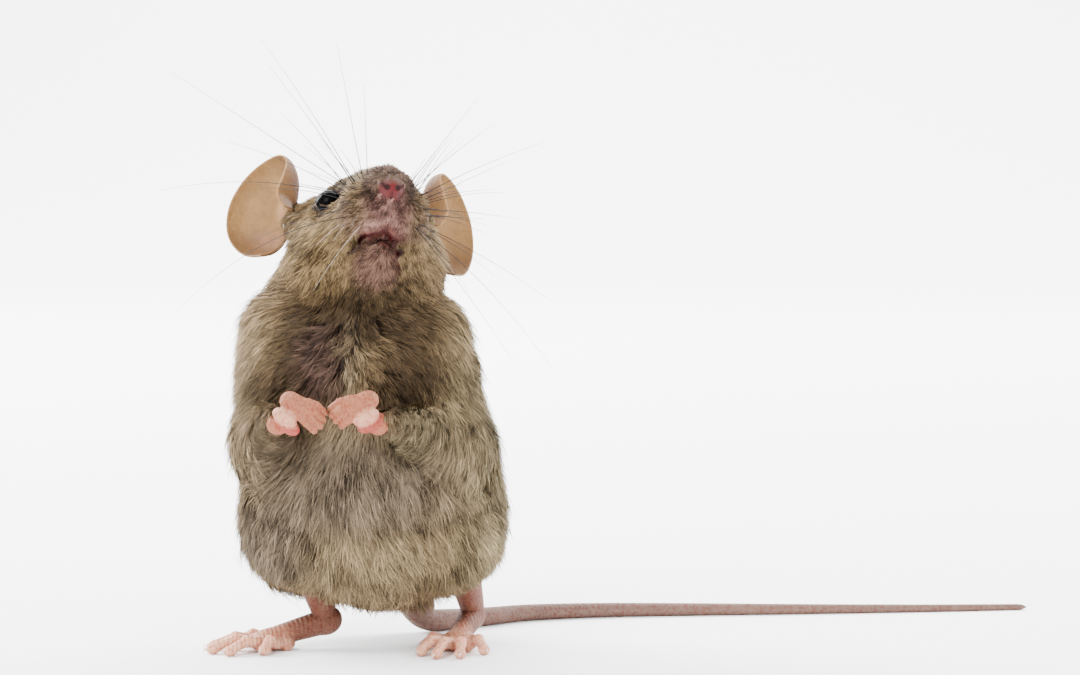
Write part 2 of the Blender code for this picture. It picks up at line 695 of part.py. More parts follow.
def build_limbs(pieces, head_room):
    """The arms, hands, legs and feet. Returns the shapes that they leave no room in."""
    filled = []
    for side, sign in SIDES.items():
        bones = arm_rounds(sign)
        shoulder, elbow, wrist = bones[0].start, bones[0].end, bones[2].end
        arm = combined(clay(bones, LIMB_VOXEL, ARM_FACES), [head_room])
        upper_arm, forearm = sliced(arm, elbow, bend_at(shoulder, elbow, wrist))
        arm_room = clay(bones, LIMB_VOXEL, ARM_ROOM_FACES, GAP)
        hand = combined(clay(hand_rounds(sign), DIGIT_VOXEL, HAND_FACES), [arm_room])
        pieces[f"upper_arm_{side}"] = upper_arm, "fur"
        pieces[f"forearm_{side}"] = forearm, "fur"
        pieces[f"hand_{side}"] = hand, "bare skin"

        bones = leg_rounds(sign)
        hip, knee, ankle = bones[0].start, bones[1].start, bones[1].end
        leg = combined(clay(bones, LIMB_VOXEL, LEG_FACES), [arm_room])
        thigh, shank = sliced(leg, knee.lerp(ankle, 0.25), bend_at(hip, knee, ankle))
        leg_room = clay(bones, LIMB_VOXEL, LEG_FACES, GAP)
        foot = side_of(clay(foot_rounds(sign), DIGIT_VOXEL, FOOT_FACES), Vector(), Vector((0, 0, -1)))
        pieces[f"thigh_{side}"] = thigh, "fur"
        pieces[f"shank_{side}"] = shank, "bare skin"
        pieces[f"foot_{side}"] = combined(foot, [leg_room]), "bare skin"
        filled += [arm_room, leg_room]
    return filled


def build_trunk(pieces, filled):
    """The neck, chest, belly and rump, hollowed where the head and limbs sit in them."""
    trunk = combined(clay(trunk_rounds(), BODY_VOXEL, TRUNK_FACES), filled)
    lower, upper = sliced(trunk, mm(0, 2, WAIST_AT), Vector((0, 0, 1)))
    chest, neck = sliced(upper, mm(*NECK_AT), Vector((0, -0.35, 1)))
    belly, rump = sliced(lower, mm(*RUMP_AT), Vector((0, 1, -0.75)))
    pieces["neck"] = neck, "fur"
    pieces["chest"] = chest, "fur"
    pieces["belly"] = belly, "belly fur"
    pieces["rump"] = rump, "fur"


def build_tail(pieces):
    """The tail in its lengths, cut clear of the rump."""
    first, *rest = tail_lengths()
    rump_room = clay(trunk_rounds(), BODY_VOXEL, TRUNK_ROOM_FACES, GAP)
    for number, length in enumerate([combined(first, [rump_room]), *rest], 1):
        pieces[f"tail_{number}"] = length, "tail"


def main():
    """Builds every piece, and stands the middle of the model's box on the origin."""
    for obj in list(bpy.data.objects):
        bpy.data.objects.remove(obj)
    pieces = {}
    head_room = build_head(pieces)
    build_trunk(pieces, [head_room] + build_limbs(pieces, head_room))
    build_tail(pieces)
    corners = [v.co for mesh, _ in pieces.values() for v in mesh.vertices]
    low = Vector([min(c[k] for c in corners) for k in range(3)])
    high = Vector([max(c[k] for c in corners) for k in range(3)])
    home = Matrix.Translation((-(low.x + high.x) / 2, -(low.y + high.y) / 2, -low.z))
    for name, (mesh, colour) in pieces.items():
        mesh.transform(home)
        finished(name, mesh, colour, 0.15 if colour == "eye" else 0.8)
    for mesh in list(bpy.data.meshes):
        if not mesh.users:
            bpy.data.meshes.remove(mesh)


main()
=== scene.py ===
"""A house mouse, life size, on its hind feet: its skin, coat, eyes, claws, whiskers and a plain studio.

The flesh is a field of eggs and tapered limbs that flow into each other, the same that the solids are cut
from. The skin is that field without its coat, and the coat is laid over it tuft by tuft. Lengths are
metres, written in millimetres through mm(), about a point on the floor between the feet; each finished
mesh is then moved to where the frame holds the solids.
"""

import json
import logging
import math
from collections.abc import Callable, Iterable, Sequence
from dataclasses import dataclass, field, fields
from enum import Enum

import bmesh
import bpy
import numpy as np
from mathutils import Matrix, Vector

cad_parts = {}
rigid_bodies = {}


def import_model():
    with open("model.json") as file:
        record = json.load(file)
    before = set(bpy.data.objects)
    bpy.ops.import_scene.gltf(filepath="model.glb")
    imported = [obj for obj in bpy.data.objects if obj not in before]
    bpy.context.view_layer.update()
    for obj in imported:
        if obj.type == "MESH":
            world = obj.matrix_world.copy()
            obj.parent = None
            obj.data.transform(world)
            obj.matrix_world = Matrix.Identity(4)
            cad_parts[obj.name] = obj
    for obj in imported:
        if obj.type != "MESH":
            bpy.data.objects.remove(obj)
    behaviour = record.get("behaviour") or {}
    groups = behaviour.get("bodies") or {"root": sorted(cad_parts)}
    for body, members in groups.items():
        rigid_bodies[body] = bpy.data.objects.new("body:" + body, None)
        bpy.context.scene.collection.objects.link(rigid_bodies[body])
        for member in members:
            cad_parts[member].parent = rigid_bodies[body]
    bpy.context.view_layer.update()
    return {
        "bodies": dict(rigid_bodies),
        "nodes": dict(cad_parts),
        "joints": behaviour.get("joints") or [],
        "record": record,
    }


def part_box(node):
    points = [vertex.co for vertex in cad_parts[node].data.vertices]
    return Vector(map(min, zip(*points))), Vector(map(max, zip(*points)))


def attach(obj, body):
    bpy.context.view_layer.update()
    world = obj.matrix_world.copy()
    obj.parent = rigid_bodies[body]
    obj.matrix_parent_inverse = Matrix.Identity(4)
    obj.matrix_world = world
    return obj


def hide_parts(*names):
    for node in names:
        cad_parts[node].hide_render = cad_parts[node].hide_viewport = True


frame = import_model()

log = logging.getLogger("mouse")

MM = 0.001
COAT_TRUNK, COAT_LIMB, COAT_FACE, COAT_BARE = 2.2 * MM, 1.5 * MM, 0.5 * MM, 0.0
NOSE_UP, NOSE_TO_LEFT, HEAD_ROLL = 30, 16, 6.5  # the head's pose, in degrees
EYE_RADIUS = 1.85 * MM
EYE_PLACE = (-10.6, 5.6, 2.6)  # back, out and up from the tip of the nose, in millimetres
EYES = {-1: (-10.7, -5.75, 2.25), 1: (-11.1, 5.0, 2.5)}  # where each eye looks out of its lids
SOCKET_RADIUS, LID_RADIUS = 1.93, 1.98  # round the eye's centre, in millimetres
NOSE_PAD, NOSE_SIZE = (-0.4, 0, -0.5), (1.7, 1.40, 1.15)  # the bare part of the nose
FINGERS = 4

Array = np.ndarray
Mesh = bpy.types.Mesh
Triple = tuple[float, float, float]


def mm(x: float, y: float, z: float) -> Vector:
    """A point or size given in millimetres, in metres."""
    return Vector((x, y, z)) * MM


def frame_of(origin: Vector, forward: Sequence[float], dorsal: Sequence[float]) -> Matrix:
    """A frame of axes at a point.

    Args:
        origin: where the frame stands.
        forward: the way its x axis runs.
        dorsal: roughly the way its z axis runs; y is then to the left.

    Returns:
        The frame as a 4 by 4 matrix.
    """
    forward = Vector(forward).normalized()
    left = Vector(dorsal).cross(forward).normalized()
    up = forward.cross(left)
    return Matrix.Translation(origin) @ Matrix((forward, left, up)).transposed().to_4x4()


def head_frame(nose: Vector) -> Matrix:
    """The head's own frame, with its origin at the tip of the nose.

    Args:
        nose: where the tip of the nose is.

    Returns:
        The frame, pitched, turned and rolled as the head is held.
    """
    up, side, roll = (math.radians(a) for a in (NOSE_UP, NOSE_TO_LEFT, HEAD_ROLL))
    forward = Vector((math.sin(side) * math.cos(up), -math.cos(side) * math.cos(up), math.sin(up)))
    level_dorsal = forward.cross(Vector((math.cos(side), math.sin(side), 0)))
    return frame_of(nose, forward, Matrix.Rotation(-roll, 3, forward) @ level_dorsal)


BODY = Matrix.Identity(4)
HEAD = head_frame(mm(4.1, -13.5, 59.1))
HANDS = {
    -1: frame_of(mm(-8.3, -17.2, 33.2), (0.84, -0.20, -0.52), (0.15, -0.95, 0.30)),
    1: frame_of(mm(1.5, -17.2, 33.3), (-0.90, -0.20, -0.42), (-0.10, -0.95, 0.30)),
}
FEET = {
    -1: frame_of(mm(-4.6, 3.2, 0), (-0.95, -0.33, 0), (0, 0, 1)),
    1: frame_of(mm(13.4, 8.4, 0), (-0.23, -0.97, 0), (0, 0, 1)),
}
EARS = {
    -1: frame_of(mm(-11.5, 0.2, 53.7), (0.75, -0.66, 0.0), (0.0, 0.24, 0.97)),
    1: frame_of(mm(10.4, 5.0, 51.1), (-0.33, -0.94, 0.0), (0.0, 0.20, 0.98)),
}
SIDES = {-1: "right", 1: "left"}
# The red hollow's colour is partly the skin's red and partly painted shade in the hollow.
PADS = {  # the pale pad and the red hollow beside it, in the hand's frame
    -1: ((0.85, -2.0, -0.2), (1.9, -2.5, -1.0)),
    1: ((1.4, 1.8, -0.2), (1.6, 2.55, -1.0)),
}
LIP_LINES = (  # where the mouth's gap runs in the head's frame, and its radius
    (((-4.4, 0, -3.8), (-6.3, 1.6, -4.25), (-8.9, 1.6, -3.8)), 0.52),
    (((-6.3, 1.6, -4.25), (-9.0, 2.85, -4.8), (-9.6, 2.1, -4.5), (-8.9, 1.6, -3.8)), 0.40),
    (((-4.4, 0, -3.8), (-4.9, -1.5, -4.3), (-6.0, -2.2, -4.1), (-8.6, -2.5, -3.4), (-9.7, -3.6, -4.2)), 0.34),
)


def home_shift() -> Vector:
    """How far the finished model stands from the point between its feet, read from an eye's solid."""
    low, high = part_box("eye_left")
    return (Vector(low) + Vector(high)) / 2 - HEAD @ mm(*EYE_PLACE)


# ---- flesh


@dataclass(frozen=True)
class Round:
    """One round of flesh: an egg about start, or a tapered limb where it has an end.

    size holds an egg's three radii along its frame's axes, or a limb's radii at its start and end.
    """

    start: Vector
    size: tuple[float, ...]
    end: Vector | None = None
    coat: float = COAT_TRUNK
    blend: float = 4 * MM
    frame: Matrix = BODY

    def reach(self) -> tuple[Array, float]:
        """The centre and radius of a ball that holds the round.

        Returns:
            The ball's centre and its radius, in metres.
        """
        if self.end is None:
            return np.array(self.frame @ self.start), max(self.size)
        first, last = self.frame @ self.start, self.frame @ self.end
        return np.array((first + last) / 2), (last - first).length / 2 + max(self.size)

    def distance(self, points: Array) -> Array:
        """About how far each point lies outside the round.

        Args:
            points: points in metres.

        Returns:
            The distances, negative inside.
        """
        if self.end is None:
            local = (points - np.array(self.frame @ self.start)) @ np.array(self.frame.to_3x3())
            radii = np.array(self.size)
            near = np.linalg.norm(local / radii, axis=1)
            slope = np.linalg.norm(local / radii**2, axis=1)
            return near * (near - 1) / np.maximum(slope, 1e-6)
        first, last = np.array(self.frame @ self.start), np.array(self.frame @ self.end)
        along = last - first
        length2 = along @ along
        fall = self.size[0] - self.size[1]
        side2 = length2 - fall * fall
        start_to_point = points - first
        run = start_to_point @ along
        off = start_to_point * length2 - np.outer(run, along)
        off2 = np.einsum("ij,ij->i", off, off)
        beyond = run - length2
        run2, beyond2 = run * run * length2, beyond * beyond * length2
        bend = np.sign(fall) * fall * fall * off2
        past_end = np.sign(beyond) * side2 * beyond2 > bend
        past_start = np.sign(run) * side2 * run2 < bend
        body = (np.sqrt(off2 * side2 / length2) + run * fall) / length2 - self.size[0]
        end_cap = np.sqrt(off2 + beyond2) / length2 - self.size[1]
        start_cap = np.sqrt(off2 + run2) / length2 - self.size[0]
        return np.where(past_end, end_cap, np.where(past_start, start_cap, body))

    def near(self, points: Array, beyond: float, coat: float = 0.0) -> Array:
        """Which points the round may touch, with its coat, its blend and a reach beyond them."""
        centre, radius = self.reach()
        return np.linalg.norm(points - centre, axis=1) < radius + coat + self.blend + beyond

    def add_to(self, bm: bmesh.types.BMesh) -> None:
        """Adds the round to a bmesh as closed shells.

        Args:
            bm: the bmesh that takes it.
        """
        turn = self.frame.to_3x3().to_4x4()
        ends = [(self.start, self.size if self.end is None else (self.size[0],) * 3)]
        if self.end is not None:
            ends.append((self.end, (self.size[1],) * 3))
        for centre, radii in ends:
            place = Matrix.Translation(self.frame @ centre) @ turn @ Matrix.Diagonal(radii).to_4x4()
            bmesh.ops.create_icosphere(bm, subdivisions=3, radius=1, matrix=place)
        if self.end is None:
            return
        first, last = self.frame @ self.start, self.frame @ self.end
        along = (last - first).to_track_quat("Z", "Y").to_matrix().to_4x4()
        bmesh.ops.create_cone(
            bm,
            cap_ends=True,
            segments=16,
            radius1=self.size[0],
            radius2=self.size[1],
            depth=(last - first).length,
            matrix=Matrix.Translation((first + last) / 2) @ along,
        )


def egg(
    at: Sequence[float], size: Sequence[float], coat: float = COAT_TRUNK, blend: float = 4.0,
    frame: Matrix = BODY,
) -> Round:
    """An egg of flesh: its centre and three radii in millimetres."""
    return Round(mm(*at), tuple(s * MM for s in size), None, coat, blend * MM, frame)


def limb(
    start: Sequence[float], end: Sequence[float], size: Sequence[float], coat: float = COAT_LIMB,
    blend: float = 2.0, frame: Matrix = BODY,
) -> Round:
    """A tapered limb of flesh: its two ends and the radius at each, in millimetres."""
    return Round(mm(*start), tuple(s * MM for s in size), mm(*end), coat, blend * MM, frame)


def trunk_rounds() -> list[Round]:
    """The belly, chest, neck, back and rump.

    Returns:
        The rounds, about the point between the feet.
    """
    return [
        egg((0.6, 2.0, 21.4), (14.9, 13.0, 14.6), blend=4),
        egg((-1.0, 2.0, 33.5), (12.8, 11.5, 12.0), blend=2.5),
        egg((-1.9, 4.0, 43.0), (9.4, 9.2, 9.5), blend=4),
        egg((0.8, 8.5, 16.5), (11.5, 9.0, 9.6), blend=4),
        egg((-0.8, 7.5, 34.0), (10.2, 9.0, 12.0), blend=4),
        limb((1.6, 10.5, 9.8), (6.4, 14.2, 3.6), (4.2, 1.8), COAT_LIMB, 3),
    ]


def head_rounds() -> list[Round]:
    """The skull, cheeks, snout, whisker pads and lips, in the head's frame.

    Returns:
        The rounds, with both of each pair.
    """

    def face(
        at: Sequence[float], size: Sequence[float], coat: float = COAT_FACE, blend: float = 1.2
    ) -> Round:
        """An egg of the face."""
        return egg(at, size, coat, blend, HEAD)

    rounds = [
        face((-17.0, 0, 2.0), (8.2, 6.9, 6.4), 1.2 * MM, 3),
        limb((-9.5, 0, 1.2), (-3.1, 0, 0.75), (5.0, 2.6), COAT_FACE, 2, HEAD),
        face((-1.3, 0, 0.0), (1.5, 1.65, 1.5), 0.1 * MM),
    ]
    for side in SIDES:
        rounds += [
            face((-16.0, side * 4.3, -2.4), (6.6, 4.6, 5.2), 1.6 * MM, 3),
            face((-5.6, side * 2.6, -0.9), (3.4, 2.5, 2.8)),
            face((-5.3, side * 1.45, -2.9), (2.8, 1.65, 1.5), 0.3 * MM, 0.6),
            face((-10.8, side * 4.3, 2.7), (3.0, 1.9, 2.4), COAT_FACE, 1.5),
            limb((-17.5, side * 4.5, 2.5), (-19.8, side * 7.2, 4.4), (3.2, 2.1), 0.8 * MM, 2, HEAD),
        ]
    return rounds


def jaw_rounds() -> list[Round]:
    """The lower jaw, from the throat to the chin, in the head's frame."""
    return [limb((-15.0, 0, -5.3), (-7.1, 0, -5.5), (4.0, 1.25), COAT_FACE, 0.8, HEAD)]


def lip_rounds() -> list[Round]:
    """The flesh between the lips, and what carries each whisker pad back into its cheek.

    Returns:
        One round a side, and one under the nose.
    """
    rounds = [egg((-9.2, side * 3.9, -2.2), (3.2, 1.7, 1.9), COAT_FACE, 1.6, HEAD) for side in SIDES]
    rounds.append(limb((-1.6, 0, -1.0), (-4.5, 0, -2.6), (1.0, 1.25), 0.3 * MM, 0.8, HEAD))
    return rounds


def pouch_rounds() -> list[Round]:
    """The furred pouch under each eye, in the head's frame.

    Returns:
        One round a side.
    """
    rounds = []
    for side, (back, out, up) in EYES.items():
        start, end = (back - 0.3, out + 1.4 * side, up - 0.7), (back + 1.5, out - 1.55 * side, up - 0.1)
        rounds.append(limb(start, end, (0.9, 0.9), COAT_FACE, 1.0, HEAD))
    return rounds


def nose_rounds() -> list[Round]:
    """The two lobes of the nose and the wings over its nostrils, in the head's frame.

    Returns:
        Two rounds a side.
    """
    rounds = []
    for side in SIDES:
        rounds += [
            egg((-0.62, side * 0.62, -0.62), (0.80, 0.62, 0.62), 0, 0.25, HEAD),
            egg((-0.75, side * 1.12, 0.10), (0.72, 0.58, 0.66), 0, 0.25, HEAD),
        ]
    return rounds


def nostril_rounds() -> list[Round]:
    """The nostrils: two commas that open outwards and up, in the head's frame.

    Returns:
        Two rounds a side, to be cut out.
    """
    rounds = []
    for side in SIDES:
        inner, middle = (0.10, side * 0.62, -0.62), (0.02, side * 1.20, -0.25)
        outer = (-0.20, side * 1.32, 0.45)
        rounds += [
            limb(inner, middle, (0.26, 0.13), blend=0.1, frame=HEAD),
            limb(middle, outer, (0.13, 0.09), blend=0.1, frame=HEAD),
        ]
    return rounds


def philtrum() -> Round:
    """The cleft under the nose, in the head's frame."""
    return limb((0.25, 0, -0.9), (-1.8, 0, -2.1), (0.10, 0.10), blend=0.12, frame=HEAD)


def mouth_rounds() -> list[Round]:
    """The gap between the lips and the chin: it runs down and back on both sides from its middle.

    Returns:
        The rounds, to be cut out.
    """
    rounds = []
    for places, wide in LIP_LINES:
        for near, far in zip(places[:-1], places[1:]):
            rounds.append(limb(near, far, (wide, wide), blend=0.15, frame=HEAD))
    return rounds


def eye_hollows() -> list[Round]:
    """The eyes' sockets and the troughs they look out through, in the head's frame.

    Returns:
        Two rounds a side, to be cut out.
    """
    rounds = []
    for side, (back, out, up) in EYES.items():
        rounds.append(egg((back, out, up), (SOCKET_RADIUS,) * 3, blend=0.2, frame=HEAD))
        near, far = (back + 3.1, out + 1.2 * side, up + 1.8), (back + 6.4, out + 2.0 * side, up)
        rounds.append(limb(near, far, (3.0, 3.0), blend=0.6, frame=HEAD))
    return rounds


def arm_rounds(side: int) -> list[Round]:
    """One upper arm and forearm, down to the wrist.

    Args:
        side: -1 for the mouse's right, 1 for its left.

    Returns:
        The upper arm and the two lengths of the forearm.
    """
    wrist = Vector((3.6, -15.6, 30.6)) if side > 0 else Vector((-9.6, -15.6, 30.8))
    shoulder = (8.8 * side - 1.4, 0.5, 40.0)
    elbow = Vector((11.2 * side, -5.0, 26.6))
    middle = elbow.lerp(wrist, 0.62)
    return [
        limb(shoulder, elbow, (4.1, 3.6), COAT_TRUNK, 3),
        limb(elbow, middle, (3.4, 1.9), COAT_LIMB, 2.5),
        limb(middle, wrist, (1.8, 1.2), 0.5 * COAT_LIMB, 1.5),
    ]


def finger_line(number: int) -> tuple[float, float]:
    """How far out along the hand and how far across it a finger stands, in millimetres."""
    return 4.4 - 0.22 * abs(number - 1.2) ** 1.5, (number - 1.5) * 0.78


def hand_rounds(side: int) -> list[Round]:
    """The palm, four bent fingers, the heel of the palm and its two bare pads.

    Args:
        side: -1 for the mouse's right, 1 for its left.

    Returns:
        The rounds, in the hand's frame.
    """

    def palm(at: Sequence[float], size: Sequence[float], blend: float) -> Round:
        """An egg of the hand."""
        return egg(at, size, COAT_BARE, blend, HANDS[side])

    rounds = [
        palm((0.3, 0, -0.25), (1.35, 1.25, 1.1), 0.6),
        palm((1.9, 0, 0.0), (1.7, 1.35, 0.95), 0.6),
        palm(PADS[side][0], (1.65, 0.95, 1.1), 0.12),
        palm(PADS[side][1], (1.3, 0.9, 0.8), 0.15),
        palm((0.3, side * 2.8, -1.6), (1.4, 1.4, 0.9), 0.4),
    ]
    for number in range(FINGERS):
        reach, across = finger_line(number)
        knuckle = (reach - 0.6, across * 1.06, 0.2)
        rounds += [
            limb((2.2, across * 0.85, 0.3), knuckle, (0.52, 0.48), COAT_BARE, 0.2, HANDS[side]),
            limb(knuckle, (reach + 0.5, across * 1.1, -0.75), (0.47, 0.42), COAT_BARE, 0.18, HANDS[side]),
        ]
    return rounds


def leg_rounds(side: int) -> list[Round]:
    """One thigh and shank, down to the heel.

    Args:
        side: -1 for the mouse's right, 1 for its left.

    Returns:
        The thigh, the shank, and the flesh from hip to knee.
    """
    ankle = FEET[side] @ mm(0.9, 0, 4.4) / MM
    hip = Vector((9.7 * side + 0.8, 3.5, 15.4))
    knee = Vector((11.8, 0.0, 12.4)) if side > 0 else Vector((-7.8, -1.0, 13.0))
    return [
        egg(hip, (5.0, 7.6, 6.8), COAT_TRUNK, 4),
        limb(knee, ankle, (2.4, 1.55), COAT_BARE, 1.5),
        limb(hip, knee, (4.4, 3.0), COAT_LIMB, 3),
    ]


TOES = (  # start along the foot, across it, length, sideways lean; the first is the inner toe
    (7.6, -1.9, 3.3, -0.75),
    (9.0, -1.3, 5.6, -0.36),
    (9.5, -0.3, 6.4, -0.08),
    (9.2, 0.8, 5.9, 0.22),
    (7.6, 1.7, 4.6, 0.62),
)


def toe_line(side: int, toe: tuple[float, float, float, float]) -> tuple[Vector, Vector, Vector, Vector]:
    """One hind toe's root, knuckle, tip and heading, in millimetres in the foot's frame.

    Args:
        side: -1 for the mouse's right, 1 for its left.
        toe: its row of TOES.

    Returns:
        The root, knuckle, tip and heading.
    """
    start, across, length, lean = toe
    root = Vector((start, side * across, 1.1))
    heading = Vector((math.cos(lean), math.sin(lean) * side, 0))
    knuckle = root + heading * length * 0.5 + Vector((0, 0, 0.55))
    tip = root + heading * length + Vector((0, 0, -0.45))
    return root, knuckle, tip, heading


def foot_rounds(side: int) -> list[Round]:
    """The raised heel, instep, sole pads and five toes of one hind foot.

    Args:
        side: -1 for the mouse's right, 1 for its left.

    Returns:
        The rounds, in the foot's frame.
    """

    def bare(at: Sequence[float], size: Sequence[float], blend: float = 0.3) -> Round:
        """An egg of the foot."""
        return egg(at, size, COAT_BARE, blend, FEET[side])

    rounds = [
        bare((0.2, 0, 3.5), (1.6, 1.35, 1.7), 1.0),
        limb((1.2, 0, 3.2), (8.6, 0, 1.4), (1.6, 1.2), COAT_BARE, 1.0, FEET[side]),
        bare((8.6, -0.1 * side, 1.2), (2.2, 2.2, 1.15), 0.8),
        bare((6.2, -side * 1.3, 1.0), (1.1, 0.8, 1.05)),
        bare((6.6, side * 1.4, 0.9), (1.0, 0.8, 0.95)),
        bare((9.4, -side * 1.7, 0.7), (0.9, 0.7, 0.75)),
        bare((9.4, side * 1.6, 0.7), (0.9, 0.7, 0.75)),
    ]
    for toe in TOES:
        root, knuckle, tip, heading = toe_line(side, toe)
        rounds += [
            limb(root, knuckle, (0.76, 0.70), COAT_BARE, 0.3, FEET[side]),
            limb(knuckle, tip, (0.68, 0.52), COAT_BARE, 0.25, FEET[side]),
            bare(tip - heading * 0.4, (0.85, 0.72, 0.65), 0.25),
        ]
    return rounds


def blended(own: Array, other: Array, blend: float) -> Array:
    """The nearer of two distances, flowing into each other over a blend."""
    overlap = np.maximum(blend - np.abs(own - other), 0) / blend
    return np.minimum(own, other) - overlap**2 * blend / 4


@dataclass
class Flesh:
    """A body of rounds that flow into each other, with hollows cut into it."""

    rounds: list[Round]
    hollows: list[Round] = field(default_factory=list)

    def distance(self, points: Array, coated: bool = False) -> Array:
        """How far each point lies outside the blended body.

        Args:
            points: points in metres.
            coated: whether the coat counts as body.

        Returns:
            The distances, negative inside.
        """
        total = np.full(len(points), 1.0)
        for part in self.rounds:
            coat = part.coat if coated else 0.0
            near = part.near(points, 4 * MM, coat)
            if near.any():
                total[near] = blended(part.distance(points[near]) - coat, total[near], part.blend)
        for part in self.hollows:
            near = part.near(points, 1 * MM)
            if near.any():
                total[near] = -blended(part.distance(points[near]), -total[near], part.blend)
        return total

    def slope(self, points: Array) -> tuple[Array, Array]:
        """The distance and its gradient at each point.

        Args:
            points: points in metres.

        Returns:
            The distances and the gradients.
        """
        step = 0.02 * MM
        corners = np.array([(1, -1, -1), (-1, -1, 1), (-1, 1, -1), (1, 1, 1)], float)
        samples = [self.distance(points + step * c) for c in corners]
        slope = sum(s[:, None] * c for s, c in zip(samples, corners)) / (4 * step)
        return sum(samples) / 4, slope

    def settle(self, points: Array, times: int) -> Array:
        """Moves points onto the surface along its slope.

        Args:
            points: points in metres.
            times: how often the step is taken.

        Returns:
            The moved points.
        """
        for _ in range(times):
            here, slope = self.slope(points)
            square = np.maximum(np.einsum("ij,ij->i", slope, slope), 0.2)
            points = points - slope * np.clip(here / square, -0.5 * MM, 0.5 * MM)[:, None]
        return points

    def clay(self, voxel: float) -> Mesh:
        """One closed mesh of the body.

        Args:
            voxel: how finely it is modelled, in metres.

        Returns:
            The mesh.
        """
        bm = bmesh.new()
        for part in self.rounds:
            part.add_to(bm)
        obj = loose_object("clay", mesh_of("clay", bm))
        remesh = obj.modifiers.new("Remesh", "REMESH")
        remesh.mode = "VOXEL"
        remesh.voxel_size = voxel
        mesh = baked(obj)
        set_points(mesh, self.settle(points_of(mesh), 5))
        obj = loose_object("clay", mesh)
        even = obj.modifiers.new("Even", "SMOOTH")
        even.factor = 0.5
        even.iterations = 2
        mesh = baked(obj)
        set_points(mesh, self.settle(points_of(mesh), 2))
        return mesh

    def refined(self, mesh: Mesh, where: Callable[[Array], Array]) -> Mesh:
        """The mesh with its faces halved in a region, and the new points laid on the surface.

        Args:
            mesh: the mesh to refine.
            where: tells which of an array of points are in the region.

        Returns:
            The refined mesh.
        """
        inside = where(points_of(mesh))
        bm = bmesh.new()
        bm.from_mesh(mesh)
        bm.verts.ensure_lookup_table()
        edges = [e for e in bm.edges if inside[e.verts[0].index] and inside[e.verts[1].index]]
        bmesh.ops.subdivide_edges(bm, edges=edges, cuts=1, use_grid_fill=True)
        bmesh.ops.triangulate(bm, faces=[f for f in bm.faces if len(f.verts) > 4])
        mesh = mesh_of("refined", bm)
        points = points_of(mesh)
        moving = where(points)
        points[moving] = self.settle(points[moving], 3)
        set_points(mesh, points)
        return mesh


# ---- meshes


def mesh_of(name: str, bm: bmesh.types.BMesh) -> Mesh:
    """The bmesh as a mesh, with the bmesh freed.

    Args:
        name: the mesh's name.
        bm: the bmesh.

    Returns:
        The mesh.
    """
    mesh = bpy.data.meshes.new(name)
    bm.to_mesh(mesh)
    bm.free()
    return mesh


def loose_object(name: str, mesh: Mesh) -> bpy.types.Object:
    """Puts a mesh in the scene as a named object.

    Args:
        name: the object's name.
        mesh: its mesh.

    Returns:
        The object.
    """
    obj = bpy.data.objects.new(name, mesh)
    bpy.context.scene.collection.objects.link(obj)
    return obj


def baked(obj: bpy.types.Object) -> Mesh:
    """A new mesh of the object with its modifiers applied, and the object taken away.

    Args:
        obj: the object.

    Returns:
        The mesh.
    """
    bpy.context.view_layer.update()
    graph = bpy.context.evaluated_depsgraph_get()
    mesh = bpy.data.meshes.new_from_object(obj.evaluated_get(graph))
    bpy.data.objects.remove(obj)
    return mesh


def points_of(mesh: Mesh) -> Array:
    """The mesh's points as an array, one a row.

    Args:
        mesh: the mesh.

    Returns:
        The points, in metres.
    """
    flat = np.empty(len(mesh.vertices) * 3)
    mesh.vertices.foreach_get("co", flat)
    return flat.reshape(-1, 3)


def set_points(mesh: Mesh, points: Array) -> None:
    """Moves the mesh's points to those of an array."""
    mesh.vertices.foreach_set("co", points.ravel())
    mesh.update()


def united(mesh: Mesh, others: Iterable[Mesh]) -> Mesh:
    """The mesh joined with others into one closed skin.

    Args:
        mesh: the main mesh.
        others: closed meshes that stand out of it and keep clear of each other.

    Returns:
        The union.
    """
    bm = bmesh.new()
    for other in others:
        bm.from_mesh(other)
    tool = loose_object("tool", mesh_of("tool", bm))
    obj = loose_object("united", mesh)
    boolean = obj.modifiers.new("Boolean", "BOOLEAN")
    boolean.operation = "UNION"
    boolean.solver = "MANIFOLD"  # EXACT drops the body where its creases touch
    boolean.object = tool
    mesh = baked(obj)
    bpy.data.objects.remove(tool)
    return mesh


def tube_rings(bm: bmesh.types.BMesh, rings: Sequence[Sequence[Vector]]) -> None:
    """Adds one closed tube through rings of points to a bmesh.

    Args:
        bm: the bmesh that takes it.
        rings: the rings, in order, each with the same number of points.
    """
    before: list[bmesh.types.BMVert] = []
    for ring in rings:
        verts = [bm.verts.new(point) for point in ring]
        for k in range(len(verts)) if before else ():
            after = (k + 1) % len(verts)
            bm.faces.new((before[k], before[after], verts[after], verts[k]))
        if not before:
            bm.faces.new(verts[::-1])
        before = verts
    bm.faces.new(before)


def ring_about(centre: Vector, along: Vector, radius: float, sides: int) -> list[Vector]:
    """A ring of points round a line, with a flat side down.

    Args:
        centre: the ring's middle.
        along: the line's heading.
        radius: the ring's radius.
        sides: how many points it has.

    Returns:
        The points, in order.
    """
    level = Vector((along.y, -along.x, 0))
    across = (level if level.length > 0.01 else Vector((1, 0, 0))).normalized()
    up = across.cross(along).normalized()
    turns = [math.tau * (k + 0.5) / sides for k in range(sides)]
    return [centre + radius * (across * math.sin(a) - up * math.cos(a)) for a in turns]


